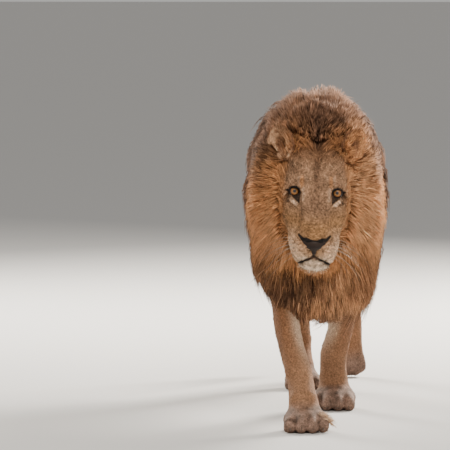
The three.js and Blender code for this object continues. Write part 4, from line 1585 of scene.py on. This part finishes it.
def toned(name):
    """A material of the table: the mesh's tones, varied by its grain, with its bump."""
    roughness, specular, (scale, darkest, lightest, detail), bump = MATERIALS[name]
    made, shader = new_material(name, roughness, specular)
    tree = made.node_tree
    tone = tree.nodes.new("ShaderNodeAttribute")
    tone.attribute_name = "tone"
    factor = tree.nodes.new("ShaderNodeMapRange")
    set_inputs(factor, {"From Min": 0.3, "From Max": 0.7, "To Min": darkest, "To Max": lightest})
    tree.links.new(add_noise(tree, scale, detail), factor.inputs["Value"])
    scaled = tree.nodes.new("ShaderNodeVectorMath")
    scaled.operation = "SCALE"
    tree.links.new(tone.outputs["Color"], scaled.inputs[0])
    tree.links.new(factor.outputs["Result"], scaled.inputs["Scale"])
    tree.links.new(scaled.outputs["Vector"], shader.inputs["Base Color"])
    if bump:
        add_bump(tree, shader, *bump)
    return made


def add_bump(tree, shader, scale, detail, distance, strength):
    """Bump from a noise of its own."""
    bump = tree.nodes.new("ShaderNodeBump")
    set_inputs(bump, {"Distance": distance, "Strength": strength})
    tree.links.new(add_noise(tree, scale, detail), bump.inputs["Height"])
    tree.links.new(bump.outputs["Normal"], shader.inputs["Normal"])


# -------------------- stage


def add_area(name, place, size, power, target):
    """A warm square light that looks at the target."""
    light = bpy.data.lights.new(name, "AREA")
    light.energy = power
    light.size = size
    light.color = (1.0, 0.94, 0.85)
    made = bpy.data.objects.new(name, light)
    made.location = place
    made.rotation_euler = (Vector(target) - Vector(place)).to_track_quat("-Z", "Y").to_euler()
    bpy.context.scene.collection.objects.link(made)


def make_stage():
    """A warm key from ahead and above, two lights behind, dim light all round, and the floor."""
    world = bpy.data.worlds.new("studio")
    world.use_nodes = True
    set_inputs(world.node_tree.nodes["Background"], {"Color": (1, 0.98, 0.95, 1), "Strength": 0.48})
    bpy.context.scene.world = world
    middle = (0, -0.3, 0.6)
    add_area("key", (0.8, -5.4, 4.4), 2.6, 300, middle)
    add_area("back_left", (2.7, 3.9, 2.7), 1.4, 1000, middle)
    add_area("back_right", (-2.5, 3.9, 2.7), 1.4, 420, middle)
    corners = FLOOR_HALF * np.array([(-1, -1, 0), (1, -1, 0), (1, 1, 0), (-1, 1, 0)])
    floor = mesh_object("floor", corners, np.array([(0, 1, 2), (0, 2, 3)]))
    made, shader = new_material("floor", 0.9, 0.2)
    set_inputs(shader, {"Base Color": (0.60, 0.59, 0.575, 1)})
    floor.data.materials.append(made)


def make_camera():
    """A long lens far ahead, a little above the lion."""
    data = bpy.data.cameras.new("camera")
    data.lens = CAMERA_LENS
    data.sensor_width = 36
    data.clip_end = 200
    camera = bpy.data.objects.new("camera", data)
    plane = CAD_BOX[0].y
    aim = Vector((AIM[0], plane, AIM[1]))
    camera.location = (0, plane - CAMERA_AWAY * math.cos(CAMERA_UP),
                       AIM[1] + CAMERA_AWAY * math.sin(CAMERA_UP))
    camera.rotation_euler = (aim - camera.location).to_track_quat("-Z", "Y").to_euler()
    bpy.context.scene.collection.objects.link(camera)
    bpy.context.scene.camera = camera


# -------------------- the lion


def put(made, slot, material, *nodes):
    """Finishes a piece: its material, the body it rides on and the nodes it replaces. slot is not
    used.
    """
    made.data.materials.append(material)
    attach(made, "root")
    if nodes:
        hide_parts(*nodes)


def make_lion():
    """The skin, the pieces of the head and paws, and the coat."""
    skin = Skin(*make_skin())
    put(skin.mesh, "coat_tan", toned("short_fur_skin"), *FLESH)
    for side, word in ((-1, "right"), (1, "left")):
        put(make_eye(side, word), "eye", toned("eye"), f"eye_{word}")
    put(make_nose(), "nose_leather", toned("nose_leather"), "nose")
    put(make_claws(), "claw", toned("claw_horn"))
    put(make_whiskers(), "whisker", toned("whisker_hair"))
    put_fur(skin, toned("short_fur"))
    put_hair(skin, toned("mane_hair"))


def face_coat_length(p):
    """Short on the muzzle, longer up the forehead, and longest where the long hair starts."""
    q = to_head(p)
    return mix(0.006, 0.010, ramp(-100, 60, q[:, 1])) + 0.3 * head_hair_length(mirrored(q))


def haired(skin):
    """1 on the triangles where hair grows, and 0 on the lids, the lips and the nose."""
    m = mirrored(to_head(skin.middle))
    clear = ramp(1.15, 1.4, lid_opening(m)) + (eye_place(m)[:, 1] > 0)
    clear = np.clip(clear, 0, 1) * np.where(m[:, 1] < -90, ramp(0, 2, lips_ahead(m)), 1)
    return clear * np.where(m[:, 1] < -80, ramp(0, 3, nose_ahead(m)), 1)


def put_fur(skin, fur):
    """The short coat of the face, the legs and the trunk."""
    head = skin.on_head
    leg = ramp(0.52, 0.44, skin.middle[:, 2]) * (1 - head)
    soles = ramp(0.010, 0.004, skin.middle[:, 2])
    trunk = (1 - leg) * (1 - head) * ramp(-0.50, -0.30, skin.middle[:, 1])
    for name, density, length_at in (
        ("fur_face", head * haired(skin), face_coat_length),
        ("fur_legs", leg * (1 - soles), lambda p: mix(0.009, 0.013, ramp(0.08, 0.3, p[:, 2]))),
        ("fur_trunk", trunk, lambda p: np.full(len(p), 0.017)),
    ):
        put(short_coat(name, skin, density, length_at), "coat_tan", fur)


def put_hair(skin, hair):
    """The longer hair and the mane."""
    put(head_hair(skin, haired(skin)), "mane_ochre", hair)
    put(wrist_tuft(skin), "coat_pale", hair)
    put(rear_fringe(skin), "mane_dark", hair)
    put(tail_brush(skin), "mane_dark", hair, "tail_tuft")
    under, *locks = mane_pieces(skin)
    put(under, "mane_dark", hair, *MANE)
    for piece in locks:
        put(piece, "mane_dark", hair)


make_camera()
make_stage()
make_lion()
